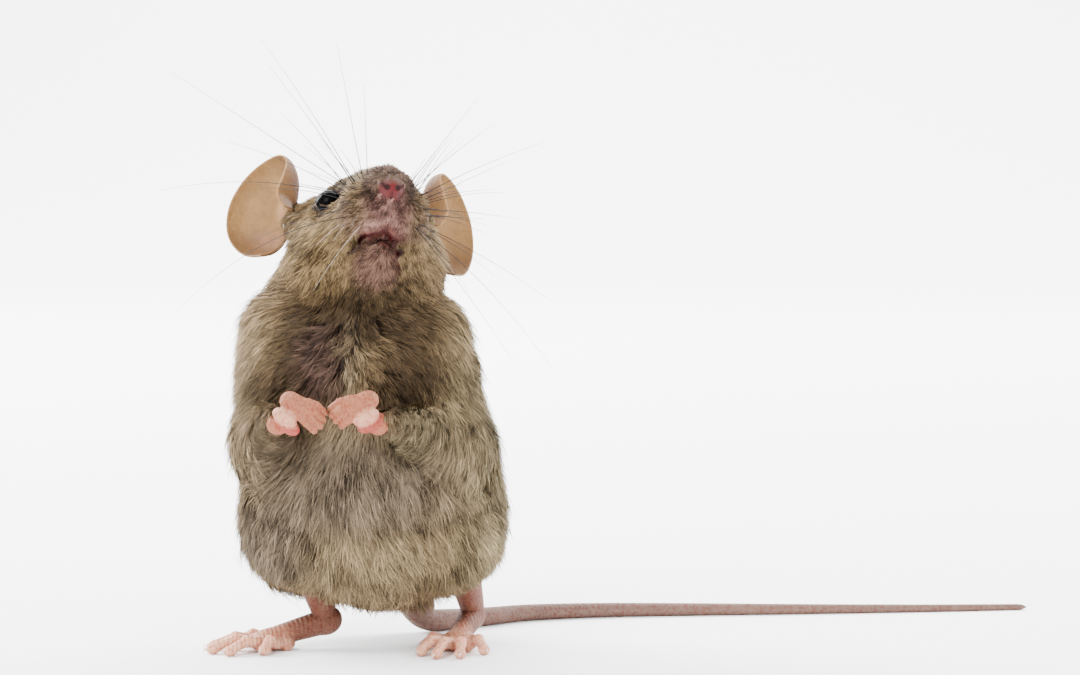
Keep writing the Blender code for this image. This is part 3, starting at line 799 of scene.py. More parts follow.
def smooth_route(points: Sequence[Sequence[float]], share: float) -> Vector:
    """The place at a share, 0 to 1, of a smooth curve through the points.

    Args:
        points: the points, in order.
        share: how far along, 0 to 1.

    Returns:
        The place.
    """
    place = min(max(share, 0.0), 1.0) * (len(points) - 1)
    i = min(int(place), len(points) - 2)
    t = place - i
    p = [Vector(points[min(max(k, 0), len(points) - 1)]) for k in range(i - 1, i + 3)]
    bend = (p[2] - p[0]) * t + (2 * p[0] - 5 * p[1] + 4 * p[2] - p[3]) * t**2
    return p[1] + 0.5 * (bend + (3 * (p[1] - p[2]) + p[3] - p[0]) * t**3)


def over(colours: Array, colour: Array | Sequence[float], share: Array) -> Array:
    """The colours with another laid over each by a share."""
    return colours * (1 - share[:, None]) + np.array(colour) * share[:, None]


def eased(value: Array, low: float, high: float) -> Array:
    """A smooth step of the value, from 0 at low to 1 at high."""
    t = np.clip((value - low) / (high - low), 0, 1)
    return t * t * (3 - 2 * t)


def in_frame(points: Array, frame: Matrix) -> Array:
    """The points in a frame's own axes, in millimetres."""
    turn, origin = np.array(frame.to_3x3()), np.array(frame.translation)
    return (points - origin) @ turn / MM


def paint(mesh: Mesh, name: str, colours: Array) -> None:
    """Writes a colour for each point of a mesh.

    Args:
        mesh: the mesh.
        name: the attribute's name.
        colours: one row of three values for each point.
    """
    attribute = mesh.attributes.new(name, "FLOAT_COLOR", "POINT")
    filled = np.ones((len(colours), 4), np.float32)
    filled[:, :3] = colours
    attribute.data.foreach_set("color", filled.ravel())


# ---- materials


class Wire:
    """One output of a material's nodes; arithmetic on it adds Math nodes."""

    def __init__(self, board: "Board", socket: bpy.types.NodeSocket) -> None:
        """Wraps a socket of a board."""
        self.board = board
        self.socket = socket

    def _math(self, operation: str, first: "Wire | float", second: "Wire | float") -> "Wire":
        """A Math node on two values."""
        return self.board.add("ShaderNodeMath", {"operation": operation}, {0: first, 1: second})

    def __add__(self, other: "Wire | float") -> "Wire":
        """The sum."""
        return self._math("ADD", self, other)

    __radd__ = __add__

    def __sub__(self, other: "Wire | float") -> "Wire":
        """The difference."""
        return self._math("SUBTRACT", self, other)

    def __rsub__(self, other: float) -> "Wire":
        """The difference from a number."""
        return self._math("SUBTRACT", other, self)

    def __mul__(self, other: "Wire | float") -> "Wire":
        """The product."""
        return self._math("MULTIPLY", self, other)

    __rmul__ = __mul__

    def ramp(self, low: float, high: float) -> "Wire":
        """A smooth step from 0 at low to 1 at high."""
        values = {"Value": self, "From Min": low, "From Max": high}
        return self.board.add("ShaderNodeMapRange", {"interpolation_type": "SMOOTHSTEP"}, values)


Value = "Wire | float | tuple[float, ...]"


class Board:
    """The nodes of one material."""

    def __init__(self, name: str) -> None:
        """Makes a material with a bare Principled shader.

        Args:
            name: the material's name.
        """
        self.material = bpy.data.materials.new(name)
        self.material.use_nodes = True
        self.tree = self.material.node_tree
        self.shader = self.tree.nodes["Principled BSDF"]

    def add(self, kind: str, settings: dict, values: dict, output: int | str = 0) -> Wire:
        """Adds one node.

        Args:
            kind: the node's type.
            settings: what is set on the node, before its sockets.
            values: numbers, colours or wires for its sockets, by name or number.
            output: which output is returned.

        Returns:
            The node's output.
        """
        node = self.tree.nodes.new(kind)
        for key, value in settings.items():
            setattr(node, key, value)
        for key, value in values.items():
            self.feed(node.inputs[key], value)
        return Wire(self, node.outputs[output])

    def feed(self, socket: bpy.types.NodeSocket, value: Value) -> None:
        """Sets a socket to a value, or links a wire to it.

        Args:
            socket: the socket.
            value: a number, a colour or a wire.
        """
        if isinstance(value, Wire):
            self.tree.links.new(value.socket, socket)
        else:
            socket.default_value = value

    def set(self, **values: Value) -> None:
        """Sets sockets of the shader; a name's underscores stand for spaces."""
        for key, value in values.items():
            self.feed(self.shader.inputs[key.replace("_", " ")], value)

    def mix(self, share: Value, first: Value, second: Value, blend: str = "MIX") -> Wire:
        """Two colours mixed by a share."""
        settings = {"data_type": "RGBA", "blend_type": blend}
        return self.add("ShaderNodeMix", settings, {0: share, 6: first, 7: second}, 2)

    def scaled(self, colour: Wire, factor: Wire | float) -> Wire:
        """A colour made lighter or darker."""
        return self.add("ShaderNodeVectorMath", {"operation": "SCALE"}, {0: colour, "Scale": factor})

    def attribute(self, name: str) -> Wire:
        """The colour of a mesh's attribute."""
        return self.add("ShaderNodeAttribute", {"attribute_name": name}, {})

    def channels(self, name: str) -> tuple[Wire, Wire, Wire]:
        """The three values of a mesh's attribute.

        Args:
            name: the attribute's name.

        Returns:
            One wire for each value.
        """
        node = self.tree.nodes.new("ShaderNodeSeparateColor")
        self.feed(node.inputs[0], self.attribute(name))
        return tuple(Wire(self, node.outputs[k]) for k in range(3))

    def place(self) -> Wire:
        """The object's own coordinates, in metres."""
        return self.add("ShaderNodeTexCoord", {}, {}, "Object")

    def noise(self, per_metre: float, detail: float, stretch: tuple[float, ...] | None = None) -> Wire:
        """Cloudy noise on the object's coordinates.

        Args:
            per_metre: how many clouds to a metre.
            detail: how many finer layers it has.
            stretch: a factor for each axis, or None.

        Returns:
            The noise, about 0.5.
        """
        place = self.place()
        if stretch:
            place = self.add("ShaderNodeMapping", {}, {"Vector": place, "Scale": stretch})
        return self.add("ShaderNodeTexNoise", {}, {"Vector": place, "Scale": per_metre, "Detail": detail})

    def bump(self, height: Wire, depth: float) -> None:
        """Raises the surface by a height, depth in metres."""
        self.set(Normal=self.add("ShaderNodeBump", {}, {"Height": height, "Distance": depth}, "Normal"))


@dataclass(frozen=True)
class SkinFinish:
    """Bare and furred skin, painted by region, with fine wrinkles and painted shade, redder, in their
    grooves.
    """

    roughness: float = 0.55
    wrinkles_per_metre: float = 2600
    wrinkle_depth: float = 0.14 * MM
    # the colour that the painted shade in the wrinkles' grooves multiplies in
    groove_tint: tuple[float, ...] = (0.80, 0.42, 0.36, 1)

    def material(self) -> bpy.types.Material:
        """The skin's material.

        Returns:
            The material.
        """
        board = Board("skin")
        tint = board.attribute("tint")
        ringed, wet, even = board.channels("surface")
        clouds = board.noise(900, 4)
        creases = board.noise(self.wrinkles_per_metre, 4)
        colour = board.scaled(tint, 0.72 + clouds * 0.56)
        # painted shade: darker, redder colour in the wrinkles' grooves, kept off the ears and nose
        groove_shade = ((creases - 0.5).ramp(-0.12, 0.02) * -0.7 + 0.7) * (1 - even)
        colour = board.mix(groove_shade, colour, board.mix(1.0, colour, self.groove_tint, "MULTIPLY"))
        board.set(Base_Color=colour, Roughness=self.roughness - wet * 0.25, Specular_IOR_Level=0.18)
        board.set(Subsurface_Weight=0.08, Subsurface_Radius=(1.0, 0.35, 0.2), Subsurface_Scale=0.4 * MM)
        board.bump(creases + ringed, self.wrinkle_depth)
        return board.material


@dataclass(frozen=True)
class FurFinish:
    """Banded hair: dark at its root, its own colour further out, and a dark tip on guard hairs."""

    roughness: float = 0.60
    root_share: float = 0.16
    shade: tuple[float, ...] = (0.22, 0.22, 0.24, 1)
    glow: tuple[float, ...] = (1.98, 2.06, 2.12, 1)
    guard_colour: tuple[float, ...] = (0.016, 0.013, 0.011, 1)

    def material(self) -> bpy.types.Material:
        """The coat's material.

        Returns:
            The material.
        """
        board = Board("fur")
        along, tone, guard = board.channels("strand")
        light = board.mix(1.0, board.attribute("tint"), board.mix(tone, self.shade, self.glow), "MULTIPLY")
        dark = board.scaled(light, self.root_share)
        colour = board.mix(along.ramp(0.10, 0.70), dark, light)
        colour = board.mix(guard * along.ramp(0.55, 0.90), colour, self.guard_colour)
        board.set(Base_Color=colour, Roughness=self.roughness, Specular_IOR_Level=0.02)
        return board.material


@dataclass(frozen=True)
class EyeFinish:
    """A wet black eye, clouded with very dark brown."""

    colour: tuple[float, ...] = (0.0012, 0.0012, 0.0014, 1)
    depth_colour: tuple[float, ...] = (0.003, 0.0024, 0.002, 1)

    def material(self) -> bpy.types.Material:
        """The eye's material.

        Returns:
            The material.
        """
        board = Board("eye")
        glow = board.noise(700, 2)
        board.set(Base_Color=board.mix(glow.ramp(0.45, 0.8), self.colour, self.depth_colour))
        board.set(Roughness=0.05, IOR=1.16, Specular_IOR_Level=0.14)
        return board.material


@dataclass(frozen=True)
class HornFinish:
    """Pale horn of the claws."""

    colour: tuple[float, ...] = (0.62, 0.50, 0.42, 1)
    grain_colour: tuple[float, ...] = (0.40, 0.28, 0.22, 1)

    def material(self) -> bpy.types.Material:
        """The claws' material.

        Returns:
            The material.
        """
        board = Board("claw")
        grain = board.noise(4000, 3, (1, 1, 0.3))
        board.set(Base_Color=board.mix(grain.ramp(0.35, 0.7), self.colour, self.grain_colour))
        board.set(Roughness=0.32)
        return board.material


@dataclass(frozen=True)
class WhiskerFinish:
    """Stiff hairs: dark at the root, paler and finer towards the tip, and a few all pale."""

    root_colour: tuple[float, ...] = (0.006, 0.005, 0.005, 1)
    tip_colour: tuple[float, ...] = (0.045, 0.040, 0.038, 1)
    pale_colour: tuple[float, ...] = (0.45, 0.38, 0.33, 1)

    def material(self) -> bpy.types.Material:
        """The whiskers' material.

        Returns:
            The material.
        """
        board = Board("whisker")
        along, pale, _ = board.channels("strand")
        dark = board.mix(along.ramp(0.1, 0.9), self.root_colour, self.tip_colour)
        board.set(Base_Color=board.mix(pale, dark, self.pale_colour))
        board.set(Roughness=0.6, Specular_IOR_Level=0.15)
        return board.material


@dataclass(frozen=True)
class StudioFinish:
    """The plain pale sweep that the mouse stands on."""

    colour: tuple[float, ...] = (0.93, 0.93, 0.93, 1)

    def material(self) -> bpy.types.Material:
        """The sweep's material.

        Returns:
            The material.
        """
        board = Board("studio_sweep")
        board.set(Base_Color=self.colour, Roughness=0.9, Specular_IOR_Level=0.1)
        return board.material


# ---- skin


EAR_DEPTH = 4.2 * MM
RIM_STEPS = 60  # how finely an ear's rim is followed to colour it
EAR_RIM = (  # towards the front edge, up, and out of the cup, in millimetres from the middle of the notch
    (0.9, 2.4, -0.6),
    (0.2, 4.0, 0.2),
    (0.8, 6.3, 0.1),
    (0.5, 8.1, -0.4),
    (-1.1, 8.9, -0.6),
    (-3.9, 7.8, -0.5),
    (-6.7, 5.5, -0.3),
    (-8.3, 2.4, 0.0),
    (-8.1, -0.7, 0.2),
    (-6.4, -2.9, 0.3),
    (-3.8, -4.1, 0.3),
    (-1.3, -3.9, 0.2),
)
EAR_BOTTOM = (-1.3, 0.7)
EAR_MIDDLE, EAR_REACH = (-3, 0, 2.5), 12  # a ball that holds an ear, in millimetres in its frame
TAIL_ROUTE = ((4.2, 12.4), (7.0, 14.6), (11.3, 17.9), (15.4, 20.9), (20.6, 24.8), (30.0, 27.6), (41.5, 29.0),
              (52.5, 29.9), (63.5, 31.0), (76.0, 32.4), (88.4, 34.2))


@dataclass
class Ear:
    """One ear: a cup with a few low ribs, thinning towards its rim."""

    side: int
    rows: int = 22
    columns: int = 72
    thickness: float = 0.42 * MM

    def place(self, share: float, climb: float) -> Vector:
        """A point of the cup.

        Args:
            share: the way round the rim, 0 to 1.
            climb: the way from the bottom, 0, to the rim, 1.

        Returns:
            The point, in the ear's frame, in metres.
        """
        front, up, out = smooth_route(EAR_RIM, share)
        turn = (0.12 + 0.88 * climb) * math.pi / 2
        flat = Vector((*EAR_BOTTOM, 0)).lerp(Vector((front, up, 0)), math.sin(turn))
        depth = out * math.sin(turn) ** 2 * MM - EAR_DEPTH * math.cos(turn)
        depth += self.fold(share, climb) * MM
        return Vector((flat.x * MM, self.side * depth, flat.y * MM))

    def fold(self, share: float, climb: float) -> float:
        """How far the cup's folds lift it, in millimetres.

        Args:
            share: the way round the rim, 0 to 1.
            climb: the way from the bottom to the rim, 0 to 1.

        Returns:
            The lift, out of the cup.
        """
        ribs = 0.16 * math.sin(share * 44) * math.exp(-(((climb - 0.42) / 0.22) ** 2))
        hollow = -0.22 * math.exp(-(((climb - 0.62) / 0.20) ** 2) - ((share - 0.55) / 0.25) ** 2)
        return ribs + hollow

    def mesh(self) -> Mesh:
        """The ear as one closed mesh.

        Returns:
            The mesh.
        """
        bm = bmesh.new()
        rows: list[list[bmesh.types.BMVert]] = []
        for row in range(self.rows + 1):
            points = [self.place(c / self.columns, row / self.rows) for c in range(self.columns + 1)]
            verts = [bm.verts.new(EARS[self.side] @ point) for point in points]
            for i in range(self.columns if rows else 0):
                bm.faces.new((rows[-1][i], rows[-1][i + 1], verts[i + 1], verts[i]))
            rows.append(verts)
        bmesh.ops.recalc_face_normals(bm, faces=bm.faces)
        obj = loose_object("ear", mesh_of("ear", bm))
        wall = obj.modifiers.new("Wall", "SOLIDIFY")
        wall.thickness = self.thickness
        wall.offset = 0
        wall.use_even_offset = True
        walls = obj.vertex_groups.new(name="wall")
        for row in range(self.rows + 1):
            first = row * (self.columns + 1)
            walls.add(range(first, first + self.columns + 1), 1 - (row / self.rows) ** 3, "REPLACE")
        wall.vertex_group = "wall"
        wall.thickness_vertex_group = 0.35
        mesh = baked(obj)
        bm = bmesh.new()
        bm.from_mesh(mesh)
        bmesh.ops.recalc_face_normals(bm, faces=bm.faces)
        return mesh_of("ear", bm)


@dataclass
class Tail:
    """The tail, laid on the floor, tapering through its rings of scales."""

    rings: int = 230
    sides: int = 16
    root_radius: float = 1.75 * MM
    mid_radius: float = 1.33 * MM
    tip_radius: float = 0.40 * MM
    root_rise: float = 3.2 * MM
    mid_share: float = 0.2
    tip_share: float = 0.985

    def radius(self, share: float) -> float:
        """The radius at a share of the length.

        Args:
            share: how far along the tail, 0 to 1.

        Returns:
            The radius, in metres.
        """
        if share < self.mid_share:
            return self.root_radius + (self.mid_radius - self.root_radius) * share / self.mid_share
        past = (self.tip_radius - self.mid_radius) * (share - self.mid_share)
        return self.mid_radius + past / (1 - self.mid_share)

    def line(self, share: float) -> tuple[Vector, Vector, float]:
        """The centre, heading and radius at a share of the length.

        Args:
            share: how far along the tail, 0 to 1.

        Returns:
            The centre, the heading and the radius.
        """
        radius = self.radius(share)
        centre = smooth_route(TAIL_ROUTE, share) * MM
        ahead = smooth_route(TAIL_ROUTE, share + 0.01) - smooth_route(TAIL_ROUTE, share - 0.01)
        rise = self.root_rise * (1 - min(share / 0.14, 1)) ** 2
        return Vector((*centre, radius * 0.985 + rise)), Vector((*ahead, 0)).normalized(), radius

    def mesh(self) -> Mesh:
        """The tail as one closed mesh.

        Returns:
            The mesh.
        """
        bm = bmesh.new()
        rings = []
        for i in range(self.rings + 1):
            share = i / self.rings
            centre, heading, radius = self.line(share)
            if share > self.tip_share:
                radius *= 1 - ((share - self.tip_share) / 0.016) ** 2
            rings.append(ring_about(centre, heading, radius * (1 - 0.018 * (i % 2)), self.sides))
        tube_rings(bm, rings)
        bmesh.ops.recalc_face_normals(bm, faces=bm.faces)
        return mesh_of("tail", bm)


@dataclass(frozen=True)
class Spot:
    """A marking: an egg-shaped region that takes a colour, fading out at its edge."""

    colour: Triple
    at: Triple
    size: Triple
    strength: float = 1.0
    edge: float = 0.5
    frame: Matrix = BODY

    def share(self, points: Array) -> Array:
        """How strongly each point takes the colour, 0 to 1."""
        local = (in_frame(points, self.frame) - np.array(self.at)) / np.array(self.size)
        return self.strength * (1 - eased(np.linalg.norm(local, axis=1), 1 - self.edge, 1 + self.edge))


def marked(points: Array, base: Triple, spots: Sequence[Spot]) -> Array:
    """The colour at each point: a base with spots laid over it in order.

    Args:
        points: points in metres.
        base: the base colour.
        spots: the spots.

    Returns:
        One colour for each point.
    """
    colours = np.tile(np.array(base), (len(points), 1))
    for spot in spots:
        colours = over(colours, spot.colour, spot.share(points))
    return colours


class Tone(tuple, Enum):
    """The mouse's colours, as linear red, green and blue."""

    UNDERFUR = (0.030, 0.021, 0.015)
    FLESH = (0.245, 0.088, 0.044)
    FLESH_PALE = (0.56, 0.29, 0.19)
    FLESH_MUZZLE = (0.14, 0.064, 0.050)
    FLESH_RED = (0.26, 0.036, 0.030)
    NOSE = (0.072, 0.0004, 0.0012)
    # painted shade round the nostrils and in the cleft under the nose
    NOSE_PALE = (0.056, 0.0050, 0.0048)
    NOSE_DARK = (0.030, 0.0012, 0.0016)
    # painted shade inside the nostrils
    NOSTRIL = (0.016, 0.0008, 0.0009)
    # painted shade with the mouth's red: the gap between lips and chin, its crease, and the lips' shadow on
    # the chin
    MOUTH = (0.030, 0.0025, 0.0025)
    # painted shadow of the lips on the chin's fur
    LIP = (0.060, 0.015, 0.013)
    EAR = (0.235, 0.128, 0.047)
    EAR_DARK = (0.125, 0.062, 0.027)
    EAR_BACK = (0.140, 0.070, 0.036)
    INSTEP = (0.120, 0.046, 0.027)
    SHANK = (0.120, 0.046, 0.028)
    TAIL = (0.128, 0.074, 0.057)
    FUR_TAN = (0.165, 0.107, 0.054)
    FUR_KHAKI = (0.185, 0.142, 0.078)
    FUR_GREY = (0.112, 0.087, 0.060)
    FUR_DARK = (0.024, 0.0145, 0.0085)
    FUR_PLUM = (0.070, 0.040, 0.031)
    FUR_YELLOW = (0.165, 0.117, 0.064)
    FUR_OCHRE = (0.150, 0.095, 0.040)
    FUR_BROWN = (0.165, 0.122, 0.076)
    FUR_PALE = (0.235, 0.172, 0.100)
    FUR_PINK = (0.188, 0.096, 0.076)
    FUR_CHIN = (0.125, 0.066, 0.048)


def coat_spots() -> list[Spot]:
    """The coat's markings, broad ones first.

    Returns:
        The spots, in the order they are laid on.
    """
    tan, khaki, grey, dark = Tone.FUR_TAN, Tone.FUR_KHAKI, Tone.FUR_GREY, Tone.FUR_DARK
    pale, pink, plum = Tone.FUR_PALE, Tone.FUR_PINK, Tone.FUR_PLUM
    spots = [
        Spot(khaki, (17, 2, 26), (9, 16, 24), 0.9),
        # Paler fur on the right flank, partly painted light where that side is most lit.
        Spot(pale, (-17, 2, 34), (7, 14, 14), 0.8),
        Spot(grey, (-1, -12, 25), (13, 8, 7), 0.75),
        Spot(grey, (-12, -8, 16), (7, 9, 7), 0.75),
        Spot(Tone.FUR_YELLOW, (1.5, -10, 13.5), (8, 9, 6), 0.8),
        # Dark underfur where the coat parts on the throat and chest, partly painted shade under the chin and
        # beside the arms.
        Spot(dark, (0.2, -9, 44.0), (10.5, 8, 4.0), 0.85, 0.4),
        Spot(dark, (-11.0, -9, 35.4), (4.0, 7, 2.6), 0.7, 0.5),
        Spot(dark, (-6.2, -10, 37.4), (4.2, 7, 4.6), 0.8, 0.5),
        Spot(plum, (-4.0, -10, 38.2), (2.6, 7, 4.4), 0.8, 0.5),
        Spot(dark, (5.2, -10, 37.2), (4.4, 7, 4.6), 0.85, 0.5),
        Spot(khaki, (6.5, -12, 29.5), (3.8, 3.8, 2.8), 0.8),
        Spot(pale, (-1.3, -11, 37.0), (0.9, 9, 5.2), 0.60, 0.8),
        Spot(tan, (-9, 3, -2), (9, 6, 7), 0.5, 0.5, HEAD),
        Spot(Tone.FUR_OCHRE, (-13, -5.5, -2), (6, 3.5, 6), 0.6, 0.5, HEAD),
        Spot(Tone.FUR_BROWN, (-5.5, -0.5, 3.6), (6, 5.0, 2.8), 0.9, 0.5, HEAD),
        Spot(dark, (-9.8, 4.9, -6.0), (1.6, 1.6, 0.8), 0.6, 0.5, HEAD),
        Spot(plum, (-2.0, 0.2, 1.6), (2.9, 2.5, 2.2), 0.9, 0.4, HEAD),
        Spot(pink, (-1.8, 0, -1.8), (2.9, 2.6, 1.9), 0.97, 0.35, HEAD),
        Spot(pink, (-4.8, 0, -3.6), (3.2, 3.0, 1.8), 0.97, 0.35, HEAD),
        Spot(Tone.FUR_CHIN, (-7.8, 0, -6.4), (4.2, 3.0, 2.6), 0.90, 0.4, HEAD),
    ]
    for side in SIDES:
        spots.append(Spot(plum, (-1.3, side * 2.1, 0.1), (1.6, 0.85, 1.5), 0.75, 0.5, HEAD))
        spots.append(Spot(plum, (-4.6, side * 3.7, -1.9), (2.4, 1.6, 1.9), 0.70, 0.6, HEAD))
        spots += [
            Spot(dark, (back, side * (out + 0.1), up), (0.42, 0.6, 0.42), 0.75, 0.4, HEAD)
            for back, out, up in whisker_places()
        ]
    return spots


def skin_spots() -> list[Spot]:
    """The bare skin's colours on the face.

    Returns:
        The spots, in the order they are laid on.
    """
    flesh, dark = Tone.FLESH_MUZZLE, Tone.FUR_DARK
    spots = [
        Spot(flesh, (-4.2, 0, -2.6), (4.6, 2.6, 2.6), 0.95, 0.4, HEAD),
        Spot(flesh, (-7.5, 0, -6.0), (5.0, 2.8, 2.6), 0.9, 0.4, HEAD),
        Spot(Tone.NOSE_PALE, (-0.6, 0, -0.5), (2.0, 1.9, 1.7), 1.0, 0.3, HEAD),
        Spot(Tone.FUR_PLUM, (-0.8, 0, 0.6), (1.5, 2.1, 0.8), 0.8, 0.6, HEAD),
        Spot(Tone.NOSE, (0.1, 0, -0.8), (1.1, 0.50, 0.65), 0.95, 0.5, HEAD),
    ]
    for side in SIDES:
        spots.append(Spot(dark, EYES[side], (2.6, 2.6, 2.6), 1.0, 0.15, HEAD))
    return spots


@dataclass
class Skin:
    """The whole mouse's skin in one mesh, from its body's field and its ears, tail, hands and feet."""

    body: Flesh
    body_voxel: float = 0.68 * MM
    hand_voxel: float = 0.16 * MM
    foot_voxel: float = 0.20 * MM

    @staticmethod
    def fine(points: Array) -> Array:
        """Which points are on the head or the shanks."""
        return head_part(points, 26, 12, 12) | (points[:, 2] < 13 * MM)

    @staticmethod
    def finest(points: Array) -> Array:
        """Which points are on the muzzle or round the eyes."""
        near_eye = [eye_reach(points, side) < 3.2 for side in SIDES]
        return head_part(points, 9.5, 8, 9) | np.any(near_eye, axis=0)

    @staticmethod
    def crisp(points: Array) -> Array:
        """Which points are on the nose or beside the mouth.

        Args:
            points: points in metres.

        Returns:
            A truth value for each point.
        """
        local = in_frame(points, HEAD)
        nose = np.linalg.norm(local - np.array((-0.6, 0, -0.4)), axis=1) < 2.4
        return nose | (Flesh(mouth_rounds()).distance(points) < 0.5 * MM)

    def build(self) -> Mesh:
        """The skin as one closed mesh.

        Returns:
            The mesh.
        """
        mesh = self.body.clay(self.body_voxel)
        mesh = self.body.refined(mesh, self.fine)
        mesh = self.body.refined(mesh, self.finest)
        mesh = self.body.refined(mesh, self.crisp)
        others = [Tail().mesh()]
        for side in SIDES:
            others.append(Flesh(hand_rounds(side)).clay(self.hand_voxel))
            foot = Flesh(foot_rounds(side)).clay(self.foot_voxel)
            others.append(self.flat_soled(foot))
            others.append(Ear(side).mesh())
        return united(mesh, others)

    @staticmethod
    def flat_soled(mesh: Mesh) -> Mesh:
        """A foot's mesh cut off level with the floor, and closed there.

        Args:
            mesh: the foot.

        Returns:
            The cut foot.
        """
        bm = bmesh.new()
        bm.from_mesh(mesh)
        geometry = [*bm.verts, *bm.edges, *bm.faces]
        down = Vector((0, 0, -1))
        cut = bmesh.ops.bisect_plane(bm, geom=geometry, plane_co=(0, 0, 0), plane_no=down, clear_outer=True)
        rim = [e for e in cut["geom_cut"] if isinstance(e, bmesh.types.BMEdge)]
        bmesh.ops.triangle_fill(bm, use_beauty=True, use_dissolve=True, edges=rim, normal=down)
        bmesh.ops.recalc_face_normals(bm, faces=bm.faces)
        return mesh_of("foot", bm)

    def surface(self, points: Array) -> Array:
        """How deeply each point is ringed with wrinkles, how wet it is, and how even in colour.

        Args:
            points: points in metres.

        Returns:
            Three values from 0 to 1 for each point.
        """
        shares = bare_shares(points, self.body)
        ringed = np.zeros(len(points))
        for side in SIDES:
            for frame_at, share in ((HANDS[side], shares[Bare.HANDS]), (FEET[side], shares[Bare.FEET])):
                local = in_frame(points, frame_at)
                near = share * (np.linalg.norm(local, axis=1) < 20)
                waves = 0.5 + 0.5 * np.sin(local[:, 0] * 11 + 0.8 * ripple(points, 0.5, 3))
                ringed = np.maximum(ringed, 0.8 * near * waves)
        nose = nose_reach(points)
        even = np.maximum(shares[Bare.EARS] * 0.9, 1 - eased(nose, 1.2, 1.6))
        outside = eased(Flesh(nostril_rounds()).distance(points), 0.05 * MM, 0.30 * MM)
        return np.stack([ringed, (1 - eased(nose, 0.9, 1.2)) * outside, even], axis=1)

    def tints(self, points: Array, normals: Array) -> Array:
        """The skin's colour at each point, where its normal is known, with painted shade at the nostrils, the
        cleft under the nose, the mouth, under the lips and in the hands' hollows, and painted highlights on
        the ears.

        Args:
            points: points in metres.
            normals: the skin's normal at each.

        Returns:
            One colour for each point.
        """
        colours = marked(points, Tone.UNDERFUR, skin_spots())
        for rounds, tone, edge in (
            # painted shade round and inside the nostrils and in the cleft under the nose
            (nostril_rounds(), Tone.NOSE_DARK, 0.24),
            ([philtrum()], Tone.NOSE_DARK, 0.10),
            (nostril_rounds(), Tone.NOSTRIL, 0.05),
            # painted shade, with the mouth's red, in the gap between the lips and the chin
            (mouth_rounds(), Tone.MOUTH, 0.12),
        ):
            inside = 1 - eased(Flesh(rounds).distance(points), 0, edge * MM)
            # painted shade also in the crease between lips and chin
            if tone is Tone.MOUTH:
                inside = np.maximum(inside, mouth_depth(points, self.body))
            colours = over(colours, tone, inside)
        # painted shadow of the lips on the chin's bare skin
        colours = over(colours, Tone.MOUTH, 0.9 * lip_shade(points, 2.4 * MM))
        for region, share in bare_shares(points, self.body).items():
            own = ear_colours(points, normals) if region is Bare.EARS else region_colours(region, points)
            colours = over(colours, own, share)
        return colours


class Bare(Enum):
    """The regions where the skin is bare."""

    EARS = "ears"
    HANDS = "hands"
    FEET = "feet"
    SHANKS = "shanks"
    TAIL = "tail"


def mouth_depth(points: Array, body: Flesh) -> Array:
    """How far each point lies in the crease between lips and chin, 0 to 1.

    Args:
        points: points in metres.
        body: the flesh with its mouth.

    Returns:
        One share for each point.
    """
    local = (in_frame(points, HEAD) - np.array((-7.6, 0, -4.1))) / np.array((3.2, 3.6, 1.5))
    near = np.linalg.norm(local, axis=1) < 1
    return near * eased(-body.distance(points, coated=True), 0.62 * MM, 0.95 * MM)


def near_ear(points: Array, side: int) -> Array:
    """Which points are on an ear or close to it."""
    return np.linalg.norm(in_frame(points, EARS[side]) - np.array(EAR_MIDDLE), axis=1) < EAR_REACH


def eye_reach(points: Array, side: int) -> Array:
    """How far each point is from an eye's centre, in millimetres."""
    return np.linalg.norm(in_frame(points, HEAD) - np.array(EYES[side]), axis=1)


def head_part(points: Array, back: float, out: float, up: float) -> Array:
    """Which points are in a box about the head: how far back, out and up it reaches, in millimetres."""
    local = in_frame(points, HEAD)
    return (local[:, 0] > -back) & (np.abs(local[:, 1]) < out) & (np.abs(local[:, 2] + 1) < up)


def nose_reach(points: Array) -> Array:
    """How far each point is from the middle of the nose's bare pad, 1 at the pad's edge."""
    return np.linalg.norm((in_frame(points, HEAD) - np.array(NOSE_PAD)) / np.array(NOSE_SIZE), axis=1)


def lip_shade(points: Array, reach: float) -> Array:
    """How far each point of the chin lies in the shadow of the lips, 0 to 1, fading out over a reach.

    Args:
        points: points in metres.
        reach: how far the shadow runs, in metres.

    Returns:
        One share for each point.
    """
    jaw, upper = Flesh(jaw_rounds()).distance(points), Flesh(head_rounds()).distance(points)
    gap = Flesh(mouth_rounds()).distance(points)
    local = in_frame(points, HEAD)
    middle = 0.35 * np.exp(-((local[:, 1] / 0.7) ** 2))
    under = (jaw < upper) | (local[:, 2] < middle - 3.8 + 0.3 * (local[:, 0] + 4.4))
    return under * (1 - eased(gap, 0.15 * MM, reach * (1 + 0.35 * np.tanh(local[:, 1]))))


